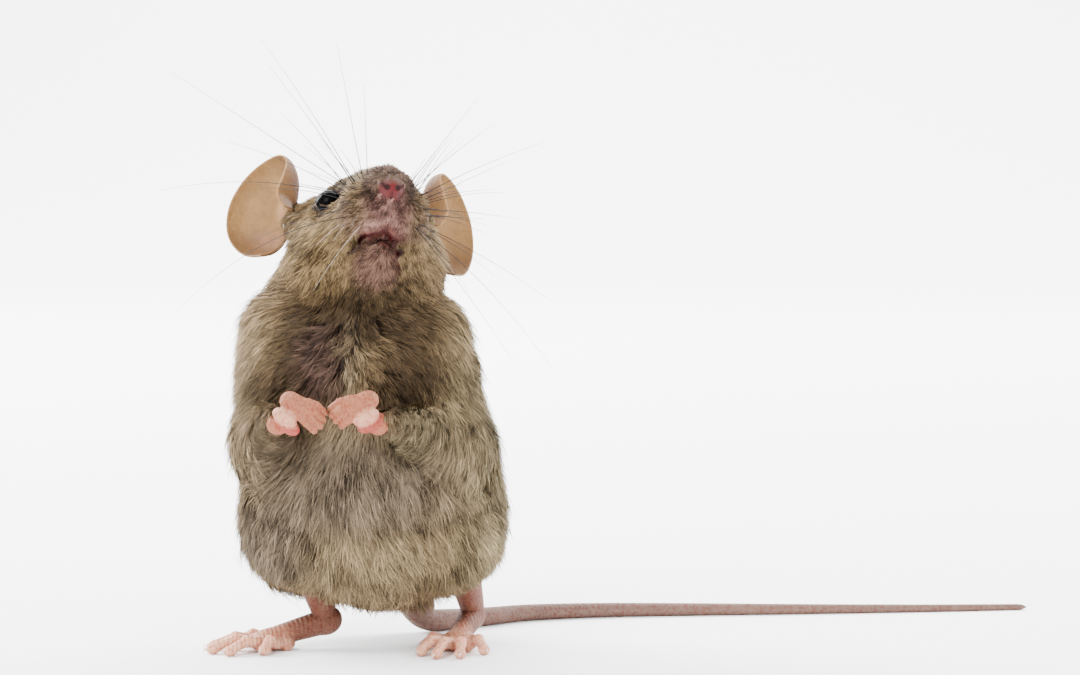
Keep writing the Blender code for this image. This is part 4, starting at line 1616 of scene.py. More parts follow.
def bare_shares(points: Array, body: Flesh) -> dict[Bare, Array]:
    """How far each point belongs to each bare region.

    Args:
        points: points on the skin.
        body: the body without hands, feet, ears and tail.

    Returns:
        A share from 0 to 1 for each point, by region.
    """
    off_body = eased(body.distance(points), 0.05 * MM, 0.5 * MM)
    shares = {}
    ear = np.zeros(len(points))
    hand, foot, shank = np.zeros(len(points)), np.zeros(len(points)), np.zeros(len(points))
    for side in SIDES:
        near = near_ear(points, side) & (points[:, 2] > 44 * MM)
        ear = np.maximum(ear, near * eased(body.distance(points), 0.3 * MM, 1.1 * MM))
        hand = np.maximum(hand, eased(-Flesh(hand_rounds(side)).distance(points), -0.25 * MM, -0.05 * MM))
        foot = np.maximum(foot, eased(-Flesh(foot_rounds(side)).distance(points), -0.35 * MM, -0.05 * MM))
        bones = Flesh(leg_rounds(side)[1:2])
        low = 1 - eased(points[:, 2], 10.5 * MM, 12.5 * MM)
        shank = np.maximum(shank, low * eased(-bones.distance(points), -1.5 * MM, -0.8 * MM))
    shares[Bare.SHANKS] = shank
    shares[Bare.FEET] = foot
    shares[Bare.HANDS] = hand
    shares[Bare.EARS] = ear
    behind = (points[:, 1] > 11 * MM) & (points[:, 2] < 4.2 * MM)
    root = Flesh(trunk_rounds()[-1:]).distance(points)
    sleeve = (1 - eased(points[:, 2], 5.5 * MM, 8.0 * MM)) * (1 - eased(root, 0.3 * MM, 1.0 * MM))
    shares[Bare.TAIL] = np.maximum(behind * off_body, sleeve)
    return shares


def ear_colours(points: Array, normals: Array) -> Array:
    """The ears' colours: tan inside, brown outside and low in the cup, with painted highlights in pale
    streaks in the cup, and a thin rim: a painted highlight at the front, dark elsewhere.

    Args:
        points: points on the skin.
        normals: the skin's normal at each.

    Returns:
        One colour for each point.
    """
    dark, red, pale = Tone.EAR_DARK, Tone.FLESH_RED, Tone.FLESH_PALE
    spots, inner, rim = [], np.zeros(len(points)), np.zeros(len(points))
    for side in SIDES:
        spots += [
            Spot(dark, (-3.4, 0, -2.6), (6.0, 9, 2.3), 0.75, 0.6, EARS[side]),
            Spot(dark, (-0.6, 0, 7.6), (1.7, 9, 2.6), 0.50, 0.6, EARS[side]),
            Spot(dark, (-4.6, 0, 3.0), (1.2, 9, 3.0), 0.22, 0.8, EARS[side]),
            # painted highlights: a pale patch low in the cup and pale streaks in it
            Spot(pale, (-3.4, 0, -1.6), (1.8, 9, 1.0), 0.22, 0.8, EARS[side]),
            Spot(pale, (-2.9, 0, 2.3), (0.5, 9, 1.3), 0.35, 0.7, EARS[side]),
            Spot(pale, (-1.8, 0, 1.3), (0.5, 9, 1.2), 0.35, 0.7, EARS[side]),
            Spot(red, (-0.6, 0, 0.8), (1.4, 9, 1.0), 0.55, 0.7, EARS[side]),
        ]
        near = near_ear(points, side)
        facing = (normals @ np.array(EARS[side].to_3x3()))[:, 1] * side
        inner = np.where(near, eased(facing, -0.25, 0.25), inner)
        route = [EARS[side] @ Ear(side).place(c / RIM_STEPS, 1.0) for c in range(RIM_STEPS + 1)]
        gaps = np.min([np.linalg.norm(points[near] - np.array(p), axis=1) for p in route], axis=0)
        rim[near] = 1 - eased(gaps, 0.08 * MM, 0.24 * MM)
    colours = marked(points, Tone.EAR, spots)
    back = np.array(Tone.EAR_BACK)
    colours = back + (colours - back) * inner[:, None]
    front = np.zeros(len(points))
    for side in SIDES:
        front = np.maximum(front, eased(in_frame(points, EARS[side])[:, 0], -2.0, -0.5))
    # a painted highlight along the front rim, and a thin dark line along the rest
    edge = np.where(front[:, None] > 0.5, np.array(Tone.EAR) * 1.1, back * 0.30)
    return colours + (edge - colours) * (rim * 0.9)[:, None]


def region_colours(region: Bare, points: Array) -> Array:
    """The colour of each point if it were in a bare region.

    Args:
        region: the region.
        points: points on the skin.

    Returns:
        One colour for each point.
    """
    pale, red, flesh = Tone.FLESH_PALE, Tone.FLESH_RED, Tone.FLESH
    if region is Bare.HANDS:
        spots = []
        for side in SIDES:
            spots += [
                # the red hollow: partly the skin's red, partly painted shade in the hollow
                Spot(red, PADS[side][1], (2.0, 1.1, 1.2), 0.85, 0.4, HANDS[side]),
                Spot(pale, PADS[side][0], (1.75, 1.0, 1.2), 0.9, 0.3, HANDS[side]),
            ]
        return marked(points, flesh, spots)
    if region is Bare.FEET:
        spots = []
        for side in SIDES:
            spots += [
                Spot(Tone.INSTEP, (1.5, 0, 3.0), (6.0, 4.5, 4.5), 1.0, 0.35, FEET[side]),
                Spot(flesh, (8.5, 0, 2.4), (2.6, 2.6, 1.2), 0.7, 0.6, FEET[side]),
                Spot(red, (9.0, 0, 0.6), (2.4, 2.6, 0.8), 0.4, 0.6, FEET[side]),
            ]
            for toe in TOES:
                spots.append(Spot(pale, tuple(toe_line(side, toe)[2]), (1.3, 1.0, 1.0), 0.7, 0.4, FEET[side]))
        return marked(points, Tone.FLESH_PALE, spots)
    if region is Bare.SHANKS:
        return np.tile(np.array(Tone.SHANK), (len(points), 1))
    return np.tile(np.array(Tone.TAIL), (len(points), 1))


# ---- coat


def ripple(points: Array, per_mm: float, seed: int) -> Array:
    """Smooth noise about 0, from a few crossing waves.

    Args:
        points: points in metres.
        per_mm: about how many waves to a millimetre.
        seed: which waves are drawn.

    Returns:
        One value for each point, mostly between -1 and 1.
    """
    rng = np.random.default_rng(seed)
    total = np.zeros(len(points))
    for _ in range(6):
        way = rng.normal(size=3)
        way *= per_mm / MM * math.tau * rng.uniform(0.6, 1.5) / np.linalg.norm(way)
        total += np.sin(points @ way + rng.uniform(0, math.tau))
    return total / 3


def fold_line(across: Array) -> Array:
    """How high the fold under the chest's coat runs, in millimetres, at a place across the belly."""
    return 19.9 + 0.010 * across**2


def unit(vectors: Array) -> Array:
    """The vectors at length one."""
    return vectors / np.maximum(np.linalg.norm(vectors, axis=1), 1e-9)[:, None]


@dataclass(frozen=True)
class Lock:
    """How a tuft's hairs are made: pairs are the least and the most, turns are in radians."""

    hairs: int = 14
    segments: int = 3
    width: float = 0.092 * MM
    taper: tuple[float, ...] = (0.80, 1.0, 0.75)
    thickness: tuple[float, float] = (0.7, 1.3)
    tuft_turn: float = 0.16
    hair_turn: float = 0.13
    roll: float = 0.35
    scatter: float = 0.42
    strays: float = 0.04
    guards: float = 0.14
    reach: tuple[float, float] = (0.62, 1.12)
    rise: tuple[float, float] = (0.55, 1.02)
    gather: tuple[float, float] = (0.10, 0.60)


BODY_LOCK, FACE_LOCK = Lock(), Lock(hairs=13, segments=2, width=0.105 * MM)
PATCH = 0.003  # a tuft's patch on its map


@dataclass
class Tufts:
    """Tufts to grow: for each its root, normal, lie, coat depth, colour and place on the unwrap."""

    roots: Array
    normals: Array
    lies: Array
    depths: Array
    tints: Array
    unwrap: Array

    def part(self, index: Array) -> "Tufts":
        """Some of the tufts."""
        return Tufts(*(getattr(self, f.name)[index] for f in fields(self)))


@dataclass
class Coat:
    """The coat: tufts of thin flat hairs laid over the skin along its lie."""

    body: Flesh
    mouth: Flesh
    seed: int = 7
    tuft_gap: float = 0.18 * MM
    gap_by_depth: float = 0.175
    shortest: float = 0.08 * MM
    longest: float = 2.6 * MM
    zone_blend: float = 2.0 * MM
    root_sink: float = 0.10 * MM
    most_triangles: int = 190_000

    def zones(self) -> dict[str, list[Round]]:
        """The body's parts that have a lie of their own.

        Returns:
            The rounds of each zone, by its name.
        """
        zones = {"head": head_rounds() + jaw_rounds(), "trunk": trunk_rounds()}
        for side, name in SIDES.items():
            zones[f"upper_arm_{name}"] = arm_rounds(side)[:1]
            zones[f"forearm_{name}"] = arm_rounds(side)[1:]
            zones[f"leg_{name}"] = leg_rounds(side)
        return zones

    def zone_lie(self, zone: str, points: Array) -> Array:
        """The way hair lies in a zone, before it is turned along the skin.

        Args:
            zone: the zone's name.
            points: points in metres.

        Returns:
            One heading for each point.
        """
        if zone == "head":
            local = in_frame(points, HEAD)
            spread = np.tanh(local[:, 1] / 4)
            drop = np.where(local[:, 2] < 0, -0.25, 0.1)
            way = np.stack([-np.ones(len(points)), 0.45 * spread, drop], axis=1)
            return way @ np.array(HEAD.to_3x3()).T
        if zone == "trunk":
            x, z = points[:, 0] / MM, points[:, 2] / MM
            chest = eased(z, 33, 38) * (1 - eased(z, 46, 50))
            spread = np.tanh((x + 1.2) / 3.5)
            out = spread * (0.30 + 0.75 * chest)
            return np.stack([out, np.full(len(x), 0.25), -1 + 0.35 * chest], axis=1)
        side = -1 if zone.endswith("right") else 1
        if zone.startswith("upper_arm"):
            bone = arm_rounds(side)[0]
        elif zone.startswith("forearm"):
            bone = arm_rounds(side)[1]
        else:
            bone = leg_rounds(side)[1]
        way = 0.6 * np.array((bone.end - bone.start).normalized()) + np.array((0.25 * side, 0, -0.6))
        return np.tile(way, (len(points), 1))

    def lies(self, points: Array, normals: Array) -> tuple[Array, Array]:
        """The lie of the hair at each point, along the skin, and the zone each point is in.

        Args:
            points: points in metres.
            normals: the skin's normal at each.

        Returns:
            The headings, and the number of each point's zone.
        """
        zones = self.zones()
        distances = np.stack([Flesh(rounds).distance(points) for rounds in zones.values()])
        weights = np.exp(-(distances - distances.min(axis=0)) / self.zone_blend)
        ways = sum(w[:, None] * unit(self.zone_lie(name, points)) for w, name in zip(weights, zones))
        ways = unit(ways)
        swirl = np.stack([ripple(points, 0.07, self.seed + k) for k in range(3)], axis=1)
        ways = ways + 0.22 * swirl
        ways -= normals * np.einsum("ij,ij->i", ways, normals)[:, None]
        return unit(ways), distances.argmin(axis=0)

    def sown(self, skin: Mesh) -> Tufts:
        """Roots for the tufts, spread over the furred skin by the depth of its coat.

        Args:
            skin: the skin's mesh.

        Returns:
            The tufts.
        """
        rng = np.random.default_rng(self.seed)
        skin.calc_loop_triangles()
        corners = np.empty(len(skin.loop_triangles) * 3, np.int32)
        skin.loop_triangles.foreach_get("vertices", corners)
        tri = points_of(skin)[corners.reshape(-1, 3)]
        cross = np.cross(tri[:, 1] - tri[:, 0], tri[:, 2] - tri[:, 0])
        area = np.linalg.norm(cross, axis=1) / 2
        centres = tri.mean(axis=1)
        depth = self.depth(centres)
        gap = self.tuft_gap + self.gap_by_depth * depth
        count = area / gap**2 * self.furred(centres)
        picks = rng.random(len(count)) < count % 1
        index = np.repeat(np.arange(len(count)), np.floor(count).astype(int) + picks)
        share = rng.random((len(index), 2))
        flip = share.sum(axis=1) > 1
        share[flip] = 1 - share[flip]
        t = tri[index]
        roots = t[:, 0] + (t[:, 1] - t[:, 0]) * share[:, :1] + (t[:, 2] - t[:, 0]) * share[:, 1:]
        normals = unit(self.body.slope(roots)[1])
        lies, zone = self.lies(roots, normals)
        tints = marked(roots, Tone.FUR_TAN, coat_spots())
        # painted shadow of the lips on the chin's fur, dark red
        tints = over(tints, Tone.LIP, 0.85 * lip_shade(roots, 1.5 * MM))
        tints *= 1 - 0.13 * eased(in_frame(roots, HEAD)[:, 0], -21, -15)[:, None]
        return Tufts(roots, normals, lies, self.depth(roots), tints, zone)

    def depth(self, points: Array) -> Array:
        """The depth of the coat over each point of the skin: short beside the mouth and the eyes.

        Args:
            points: points in metres.

        Returns:
            One depth for each point, in metres.
        """
        cap = self.shortest + 0.40 * np.maximum(self.mouth.distance(points), 0)
        for side in SIDES:
            eye = eye_reach(points, side) * MM - EYE_RADIUS
            under = 0.30 * MM * eased(EYES[side][2] - in_frame(points, HEAD)[:, 2], 0.2, 1.0)
            cap = np.minimum(cap, self.shortest + under + 0.30 * np.maximum(eye, 0))
            shank = np.maximum(Flesh(leg_rounds(side)[1:2]).distance(points), 0)
            cap = np.minimum(cap, 0.30 * MM + 0.6 * shank + 0.8 * np.maximum(points[:, 2] - 12.5 * MM, 0))
        cap = np.minimum(cap, self.shortest + 0.4 * MM * np.maximum(nose_reach(points) - 1, 0))
        depth = np.clip(-self.body.distance(points, coated=True), 0.12 * MM, self.longest)
        return np.minimum(depth, cap)

    def furred(self, points: Array) -> Array:
        """How thickly each point is furred, 0 for bare skin.

        Args:
            points: points in metres.

        Returns:
            One share for each point, 0 to 1.
        """
        bare = np.zeros(len(points))
        for share in bare_shares(points, self.body).values():
            bare = np.maximum(bare, share)
        bare = np.maximum(bare, 1 - eased(nose_reach(points), 0.90, 1.15))
        for side in SIDES:
            bare = np.where(eye_reach(points, side) < LID_RADIUS, 1, bare)
        lips = (self.mouth.distance(points) < 0.12 * MM) | (mouth_depth(points, self.body) > 0.5)
        deep = self.body.distance(points) < -0.3 * MM
        return np.where(deep | lips, 0, 1 - bare)

    def standing(self, points: Array) -> Array:
        """How far the coat stands out at each point, as a share of its depth: it gathers into soft clumps.

        Args:
            points: points in metres.

        Returns:
            One share for each point.
        """
        clumps = 0.78 + 0.20 * ripple(points, 0.42, self.seed + 20)
        z, x = points[:, 2] / MM, points[:, 0] / MM
        front = eased(-points[:, 1], 2 * MM, 7 * MM)
        line = fold_line(x)
        swell = 0.30 * np.exp(-(((z - line - 2.0) / 1.5) ** 2))
        crease = 0.42 * np.exp(-(((z - line + 1.2) / 1.3) ** 2))
        return np.clip(clumps + (swell - crease) * front, 0.35, 1.15)

    def tones(self, points: Array) -> Array:
        """How light each tuft is, 0 to 1: long streaks down the coat, soft clouds, and painted shade along
        the fold under the chest.

        Args:
            points: points in metres.

        Returns:
            One tone for each point.
        """
        streaks = ripple(points * np.array((1, 1, 0.32)), 0.50, self.seed + 30)
        local = in_frame(points, HEAD)
        on_head = eased(local[:, 0], -21, -17)
        along = ripple(local * MM * np.array((0.22, 1, 1)), 0.75, self.seed + 35)
        streaks = streaks * (1 - on_head) + 1.25 * along * on_head
        clouds = ripple(points, 0.13, self.seed + 40)
        flecks = ripple(points, 1.1, self.seed + 50)
        z, x = points[:, 2] / MM, points[:, 0] / MM
        # painted shade in the crease below the chest's fold, strongest at the sides
        crease = np.exp(-(((z - fold_line(x) + 1.3) / 0.9) ** 2)) * eased(-points[:, 1], 0, 5 * MM)
        return 0.46 + 0.23 * streaks + 0.13 * clouds + 0.09 * flecks - 0.42 * crease * eased(abs(x), 2, 9)

    def grown(self, tufts: Tufts, lock: Lock, rng: np.random.Generator) -> dict[str, Array]:
        """Every hair of some tufts.

        Args:
            tufts: the tufts.
            lock: how their hairs are made.
            rng: where chance comes from.

        Returns:
            The hairs' points, and the normal, strand, tint and unwrap values of each point.
        """
        n, hairs = len(tufts.roots), lock.hairs
        own = np.repeat(np.arange(n), hairs)
        normal, lie, depth = tufts.normals[own], tufts.lies[own], tufts.depths[own]
        across = np.cross(normal, lie)
        gap = self.tuft_gap + self.gap_by_depth * tufts.depths
        plush = self.plush(tufts.roots)
        swirl = 0.5 * plush * ripple(tufts.roots, 0.5, self.seed + 60)
        turn = (rng.normal(0, lock.tuft_turn, n) + swirl)[own]
        turn = turn + rng.normal(0, lock.hair_turn, len(own))
        way = lie * np.cos(turn)[:, None] + across * np.sin(turn)[:, None]
        side = np.cross(normal, way)
        offset = rng.normal(0, lock.scatter, (len(own), 2)) * gap[own][:, None]
        muzzle = eased(in_frame(tufts.roots, HEAD)[:, 0], -11, -7)[own]
        stray = rng.random(len(own)) < lock.strays + 0.16 * muzzle
        reach = (1.95 - 0.85 * plush)[own] * rng.uniform(*lock.reach, len(own)) * np.where(stray, 1.2, 1.0)
        length = 0.30 * MM * np.minimum(depth / (0.35 * MM), 1) + reach * depth
        rise = depth * self.standing(tufts.roots)[own] * rng.uniform(*lock.rise, len(own))
        rise = np.where(stray, rise * (1.35 + 0.55 * muzzle), rise)
        shape = (1.75 - 0.50 * plush)[own]
        wave = rng.uniform(0, math.tau, n)[own] + rng.normal(0, 0.5, len(own))
        low = (1 - eased(tufts.roots[:, 2], 14 * MM, 20 * MM))[own]
        sway = np.where(depth > 1.2 * MM, 0.07 * MM + 0.12 * MM * low, 0.02 * MM)
        gather = rng.uniform(*lock.gather, n)[own]
        base = tufts.roots[own] + lie * offset[:, :1] + across * offset[:, 1:]
        roll = rng.normal(0, lock.roll, len(own))
        facing = side * np.cos(roll)[:, None] + normal * np.sin(roll)[:, None]
        width = lock.width * rng.uniform(*lock.thickness, len(own))
        width = width * np.clip(0.50 + depth / (3.2 * MM), 0.5, 1.15)
        shares = [k / lock.segments for k in range(lock.segments + 1)]
        centre_line = []
        for t in shares:
            height = -self.root_sink + (rise + self.root_sink) * (1 - (1 - t) ** shape)
            start = base + (tufts.roots[own] - base) * (gather * t)[:, None]
            bend = np.sin(wave + t * length / (0.55 * MM)) * sway * t
            point = start + way * (length * t)[:, None] + side * bend[:, None]
            flat = tufts.roots + tufts.lies * (t * 1.6 * tufts.depths)[:, None]
            lift = -self.body.distance(flat)
            point += normal * (height + np.clip(lift, -1.6 * MM, 1.6 * MM)[own] * t ** 0.5)[:, None]
            centre_line.append(point)
        points = []
        for point, share in zip(centre_line[:-1], lock.taper):
            half = facing * (width * share / 2)[:, None]
            points += [point + half, point - half]
        points.append(centre_line[-1])
        along = np.repeat(shares, 2)[:-1]
        per_hair = len(points)
        fleck = np.where(depth < 1 * MM, 0.30, 0.19) * np.where(depth < 0.42 * MM, 0.5, 1.0)
        tone = self.tones(tufts.roots)[own] + fleck * rng.normal(0, 1, len(own))
        strand = np.empty((len(own), per_hair, 3))
        strand[:, :, 0] = along
        strand[:, :, 1] = np.clip(tone, 0, 1)[:, None]
        strand[:, :, 2] = ((rng.random(len(own)) < lock.guards) & (depth > 0.55 * MM))[:, None]
        bulge = unit(normal * 0.85 + side * rng.normal(0, 0.35, len(own))[:, None])
        number = np.tile(np.arange(hairs), n) / hairs
        patch = np.empty((len(own), per_hair, 2))
        patch[:, :, 0] = tufts.unwrap[own, 0][:, None] + PATCH * number[:, None]
        patch[:, :, 1] = tufts.unwrap[own, 1][:, None] + PATCH * along
        return {
            "points": np.stack(points, axis=1),
            "normals": np.repeat(bulge[:, None], per_hair, axis=1),
            "strand": strand,
            "tint": np.repeat(tufts.tints[own][:, None], per_hair, axis=1),
            "patch": patch,
        }

    @staticmethod
    def plush(points: Array) -> Array:
        """Where the coat is short and stands up like plush, 0 to 1: the throat and chest.

        Args:
            points: points in metres.

        Returns:
            One share for each point.
        """
        x, z = points[:, 0] / MM + 1.2, points[:, 2] / MM
        middle = np.exp(-((x / 9.0) ** 2)) * eased(-points[:, 1], 1 * MM, 6 * MM)
        return middle * eased(z, 31, 35) * (1 - eased(z, 46, 50))

    @staticmethod
    def mesh(name: str, hairs: dict[str, Array]) -> Mesh:
        """The hairs as one mesh with their attributes and their map.

        Args:
            name: the mesh's name.
            hairs: what grown() gives.

        Returns:
            The mesh.
        """
        n, per_hair = hairs["points"].shape[:2]
        pairs = per_hair // 2
        faces = [[2 * k, 2 * k + 1, 2 * k + 3, 2 * k + 2] for k in range(pairs - 1)]
        loops = [v for face in faces for v in face] + [2 * pairs - 2, 2 * pairs - 1, 2 * pairs]
        sizes = [4] * len(faces) + [3]
        starts = np.concatenate([[0], np.cumsum(sizes)[:-1]])
        corner = (np.arange(n)[:, None] * per_hair + np.array(loops)).ravel().astype(np.int32)
        loop_start = (np.arange(n)[:, None] * len(loops) + starts).ravel().astype(np.int32)
        mesh = bpy.data.meshes.new(name)
        mesh.vertices.add(n * per_hair)
        mesh.vertices.foreach_set("co", hairs["points"].reshape(-1).astype(np.float32))
        mesh.loops.add(len(corner))
        mesh.loops.foreach_set("vertex_index", corner)
        mesh.polygons.add(len(loop_start))
        mesh.polygons.foreach_set("loop_start", loop_start)
        mesh.update(calc_edges=True)
        mesh.validate()
        paint(mesh, "strand", hairs["strand"].reshape(-1, 3))
        paint(mesh, "tint", hairs["tint"].reshape(-1, 3))
        normals = mesh.attributes.new("custom_normal", "FLOAT_VECTOR", "POINT")
        normals.data.foreach_set("vector", hairs["normals"].reshape(-1).astype(np.float32))
        uv = mesh.uv_layers.new(name="OFBake")
        uv.data.foreach_set("uv", hairs["patch"].reshape(-1, 2)[corner].astype(np.float32).ravel())
        mesh.shade_smooth()
        return mesh

    def unwrapped(self, points: Array, zone: Array) -> Array:
        """Each root's place on a map of its zone, unrolled about the zone's own long axis.

        Args:
            points: the roots.
            zone: the number of each root's zone.

        Returns:
            Two places from 0 to 1 for each root.
        """
        places = np.zeros((len(points), 2))
        for k, rounds in enumerate(self.zones().values()):
            mine = zone == k
            if not mine.any():
                continue
            own = points[mine]
            centre = own.mean(axis=0)
            _, axes = np.linalg.eigh(np.cov((own - centre).T))
            local = (own - centre) @ axes
            turn = np.arctan2(local[:, 0], local[:, 1]) / math.tau + 0.5
            run = local[:, 2]
            places[mine, 0] = 0.01 + 0.97 * turn
            places[mine, 1] = 0.01 + 0.97 * (run - run.min()) / max(np.ptp(run), 1e-6)
        return places

    def build(self, skin: Mesh) -> dict[str, Mesh]:
        """Every piece of the coat, by name.

        Args:
            skin: the skin's mesh.

        Returns:
            The pieces' meshes.
        """
        rng = np.random.default_rng(self.seed + 1)
        tufts = self.sown(skin)
        zone = tufts.unwrap
        tufts.unwrap = self.unwrapped(tufts.roots, zone)
        pieces = {}
        for k, name in enumerate(self.zones()):
            mine = np.flatnonzero(zone == k)
            lock = FACE_LOCK if name == "head" else BODY_LOCK
            each = lock.hairs * (2 * lock.segments - 1)
            split = math.ceil(len(mine) * each / self.most_triangles)
            turn = tufts.unwrap[mine, 0]
            order = mine[np.argsort(turn)]
            for number, part in enumerate(np.array_split(order, split) if split else ()):
                label = f"coat_{name}_{number + 1}" if split > 1 else f"coat_{name}"
                pieces[label] = self.mesh(label, self.grown(tufts.part(part), lock, rng))
        return pieces


# ---- small parts


@dataclass(frozen=True)
class Hair:
    """One long whisker, in millimetres: its root on the head, its reach out, back and up, and its arch."""

    root: Triple
    reach: Triple
    arch: float = 0.0
    pale: bool = False


WHISKERS = {
    -1: (
        Hair((-5.6, 4.4, 2.2), (22.3, 7, 14.1)),
        Hair((-3.4, 3.9, 1.4), (11.7, 4, 17.7), 0.5),
        Hair((-3.4, 4.0, 1.1), (10.6, 3, 14.7), 0.4),
        Hair((-4.2, 2.9, 3.2), (3.2, 3, 16.3), -0.3),
        Hair((-3.0, 2.5, 2.7), (0.4, 1, 10.9)),
        Hair((-3.0, 4.4, -0.8), (24.1, 6, 0.7), 1.5),
        Hair((-3.2, 4.4, -0.4), (15.4, 5, 6.5), 0.6),
        Hair((-4.5, 4.8, -2.7), (20.8, 2, -11.4), 2.2),
        Hair((-4.2, 3.1, -3.9), (5.7, -1, -7.8), 0.4, True),
    ),
    1: (
        Hair((-2.0, 2.7, 1.5), (8.0, 4, 10.2)),
        Hair((-2.6, 3.3, 1.2), (9.3, 4, 7.5), 0.3),
        Hair((-2.5, 4.0, 0.1), (14.9, 5, 6.4), 0.4),
        Hair((-2.6, 4.2, -0.5), (10.5, 4, 4.8)),
        Hair((-3.0, 4.5, -1.5), (11.3, 3, -1.2), 0.2),
        Hair((-3.3, 4.6, -2.2), (7.3, 1, -0.4)),
        Hair((-3.4, 3.5, -3.2), (16.5, 3, -9.7), 0.6),
        Hair((-3.6, 3.3, -3.6), (16.8, 2, -17.4), 1.6),
        Hair((-3.6, 3.3, -3.5), (11.9, 0, -16.2), 0.5),
    ),
}


PAD_ROWS, PAD_COLUMNS = 4, 6


def whisker_places() -> list[Triple]:
    """Where the short whiskers grow on a pad: back, out and up from the tip of the nose, in millimetres.

    Returns:
        The places, row by row.
    """
    return [
        (-3.4 - 0.62 * column, 2.5 + 0.28 * column, 1.5 - 1.05 * row + 0.1 * (column % 2))
        for row in range(PAD_ROWS)
        for column in range(PAD_COLUMNS)
    ]


@dataclass
class Whiskers:
    """The whiskers of one side, fanned out from the pad beside the nose."""

    side: int
    root_radius: float = 0.060 * MM
    tip_radius: float = 0.018 * MM
    pale_share: float = 0.38
    steps: int = 12
    sides: int = 5

    def hairs(self) -> list[Hair]:
        """Every whisker of this side: the long ones, then rows of short ones.

        Returns:
            The whiskers.
        """
        rng = np.random.default_rng(40 + self.side)
        hairs = list(WHISKERS[self.side])
        for number, place in enumerate(whisker_places()):
            row, column = divmod(number, PAD_COLUMNS)
            turn = math.radians(38 + 9 * column + rng.uniform(-9, 9))
            rise = math.radians(48 - 30 * row + rng.uniform(-10, 10))
            pale = row == PAD_ROWS - 1 and self.side < 0
            length = (3.6 + (0.3 if pale else 1.5) * column) * rng.uniform(0.8, 1.2)
            level = length * math.cos(rise)
            reach = (level * math.sin(turn), -level * math.cos(turn), length * math.sin(rise))
            hairs.append(Hair(place, reach, 0.05 * length, pale))
        return hairs

    def mesh(self) -> Mesh:
        """The whiskers as one mesh.

        Returns:
            The mesh.
        """
        bm = bmesh.new()
        strand = []
        for hair in self.hairs():
            back, out, up = hair.root
            root = HEAD @ mm(back, out * self.side, up)
            reach = mm(hair.reach[0] * self.side, *hair.reach[1:])
            rings = []
            for i in range(self.steps + 1):
                share = i / self.steps
                arch = mm(0, 0, 4 * hair.arch * share * (1 - share))
                radius = self.root_radius + (self.tip_radius - self.root_radius) * share
                radius *= self.pale_share if hair.pale else 1.0
                rings.append(ring_about(root + reach * share + arch, reach.normalized(), radius, self.sides))
                strand += [(share, float(hair.pale), 0.0)] * self.sides
            tube_rings(bm, rings)
        bmesh.ops.recalc_face_normals(bm, faces=bm.faces)
        mesh = mesh_of("whiskers", bm)
        paint(mesh, "strand", np.array(strand))
        mesh.shade_smooth()
        return mesh


@dataclass
class Claws:
    """The small curved claws of the toes and fingers, with their sizes in millimetres."""

    toe_length: float = 1.0
    toe_radius: float = 0.24
    finger_length: float = 0.42
    finger_radius: float = 0.12
    steps: int = 5
    sides: int = 8

    def claw(self, bm: bmesh.types.BMesh, root: Vector, heading: Vector, down: Vector, length: float,
             radius: float) -> None:
        """Adds one claw, curving down to a point; sizes in millimetres.

        Args:
            bm: the bmesh that takes it.
            root: where it starts, in metres.
            heading: the way it points.
            down: the way it curves.
            length: its length.
            radius: its radius at the root.
        """
        rings = []
        for i in range(self.steps + 1):
            share = i / self.steps
            centre = root + (heading * share + down * 0.45 * share**2) * length * MM
            ahead = (heading + down * 0.9 * share).normalized()
            rings.append(ring_about(centre, ahead, radius * MM * max(1 - share, 0.06) ** 0.8, self.sides))
        tube_rings(bm, rings)

    def mesh(self) -> Mesh:
        """All the claws as one mesh.

        Returns:
            The mesh.
        """
        bm = bmesh.new()
        for side in SIDES:
            foot, hand = FEET[side], HANDS[side]
            for toe in TOES:
                _, _, tip, heading = toe_line(side, toe)
                way = foot.to_3x3() @ heading
                root = foot @ ((tip + heading * 0.15 + Vector((0, 0, 0.10))) * MM)
                self.claw(bm, root, way, Vector((0, 0, -0.7)), self.toe_length, self.toe_radius)
            for number in range(FINGERS):
                reach, across = finger_line(number)
                root = hand @ mm(reach + 0.5 + 0.1, across * 1.1, -0.9)
                way = (hand.to_3x3() @ Vector((0.7, 0, -0.7))).normalized()
                down = hand.to_3x3() @ Vector((-0.3, 0, -0.9))
                self.claw(bm, root, way, down, self.finger_length, self.finger_radius)
        bmesh.ops.recalc_face_normals(bm, faces=bm.faces)
        mesh = mesh_of("claws", bm)
        mesh.shade_smooth()
        return mesh


@dataclass
class Eye:
    """One eye: a round ball behind its lids."""

    side: int

    def mesh(self) -> Mesh:
        """The eye's mesh.

        Returns:
            The mesh.
        """
        bm = bmesh.new()
        place = Matrix.Translation(HEAD @ mm(*EYES[self.side]))
        bmesh.ops.create_uvsphere(bm, u_segments=48, v_segments=32, radius=EYE_RADIUS, matrix=place)
        mesh = mesh_of(f"eye_{SIDES[self.side]}", bm)
        mesh.shade_smooth()
        return mesh


# ---- studio


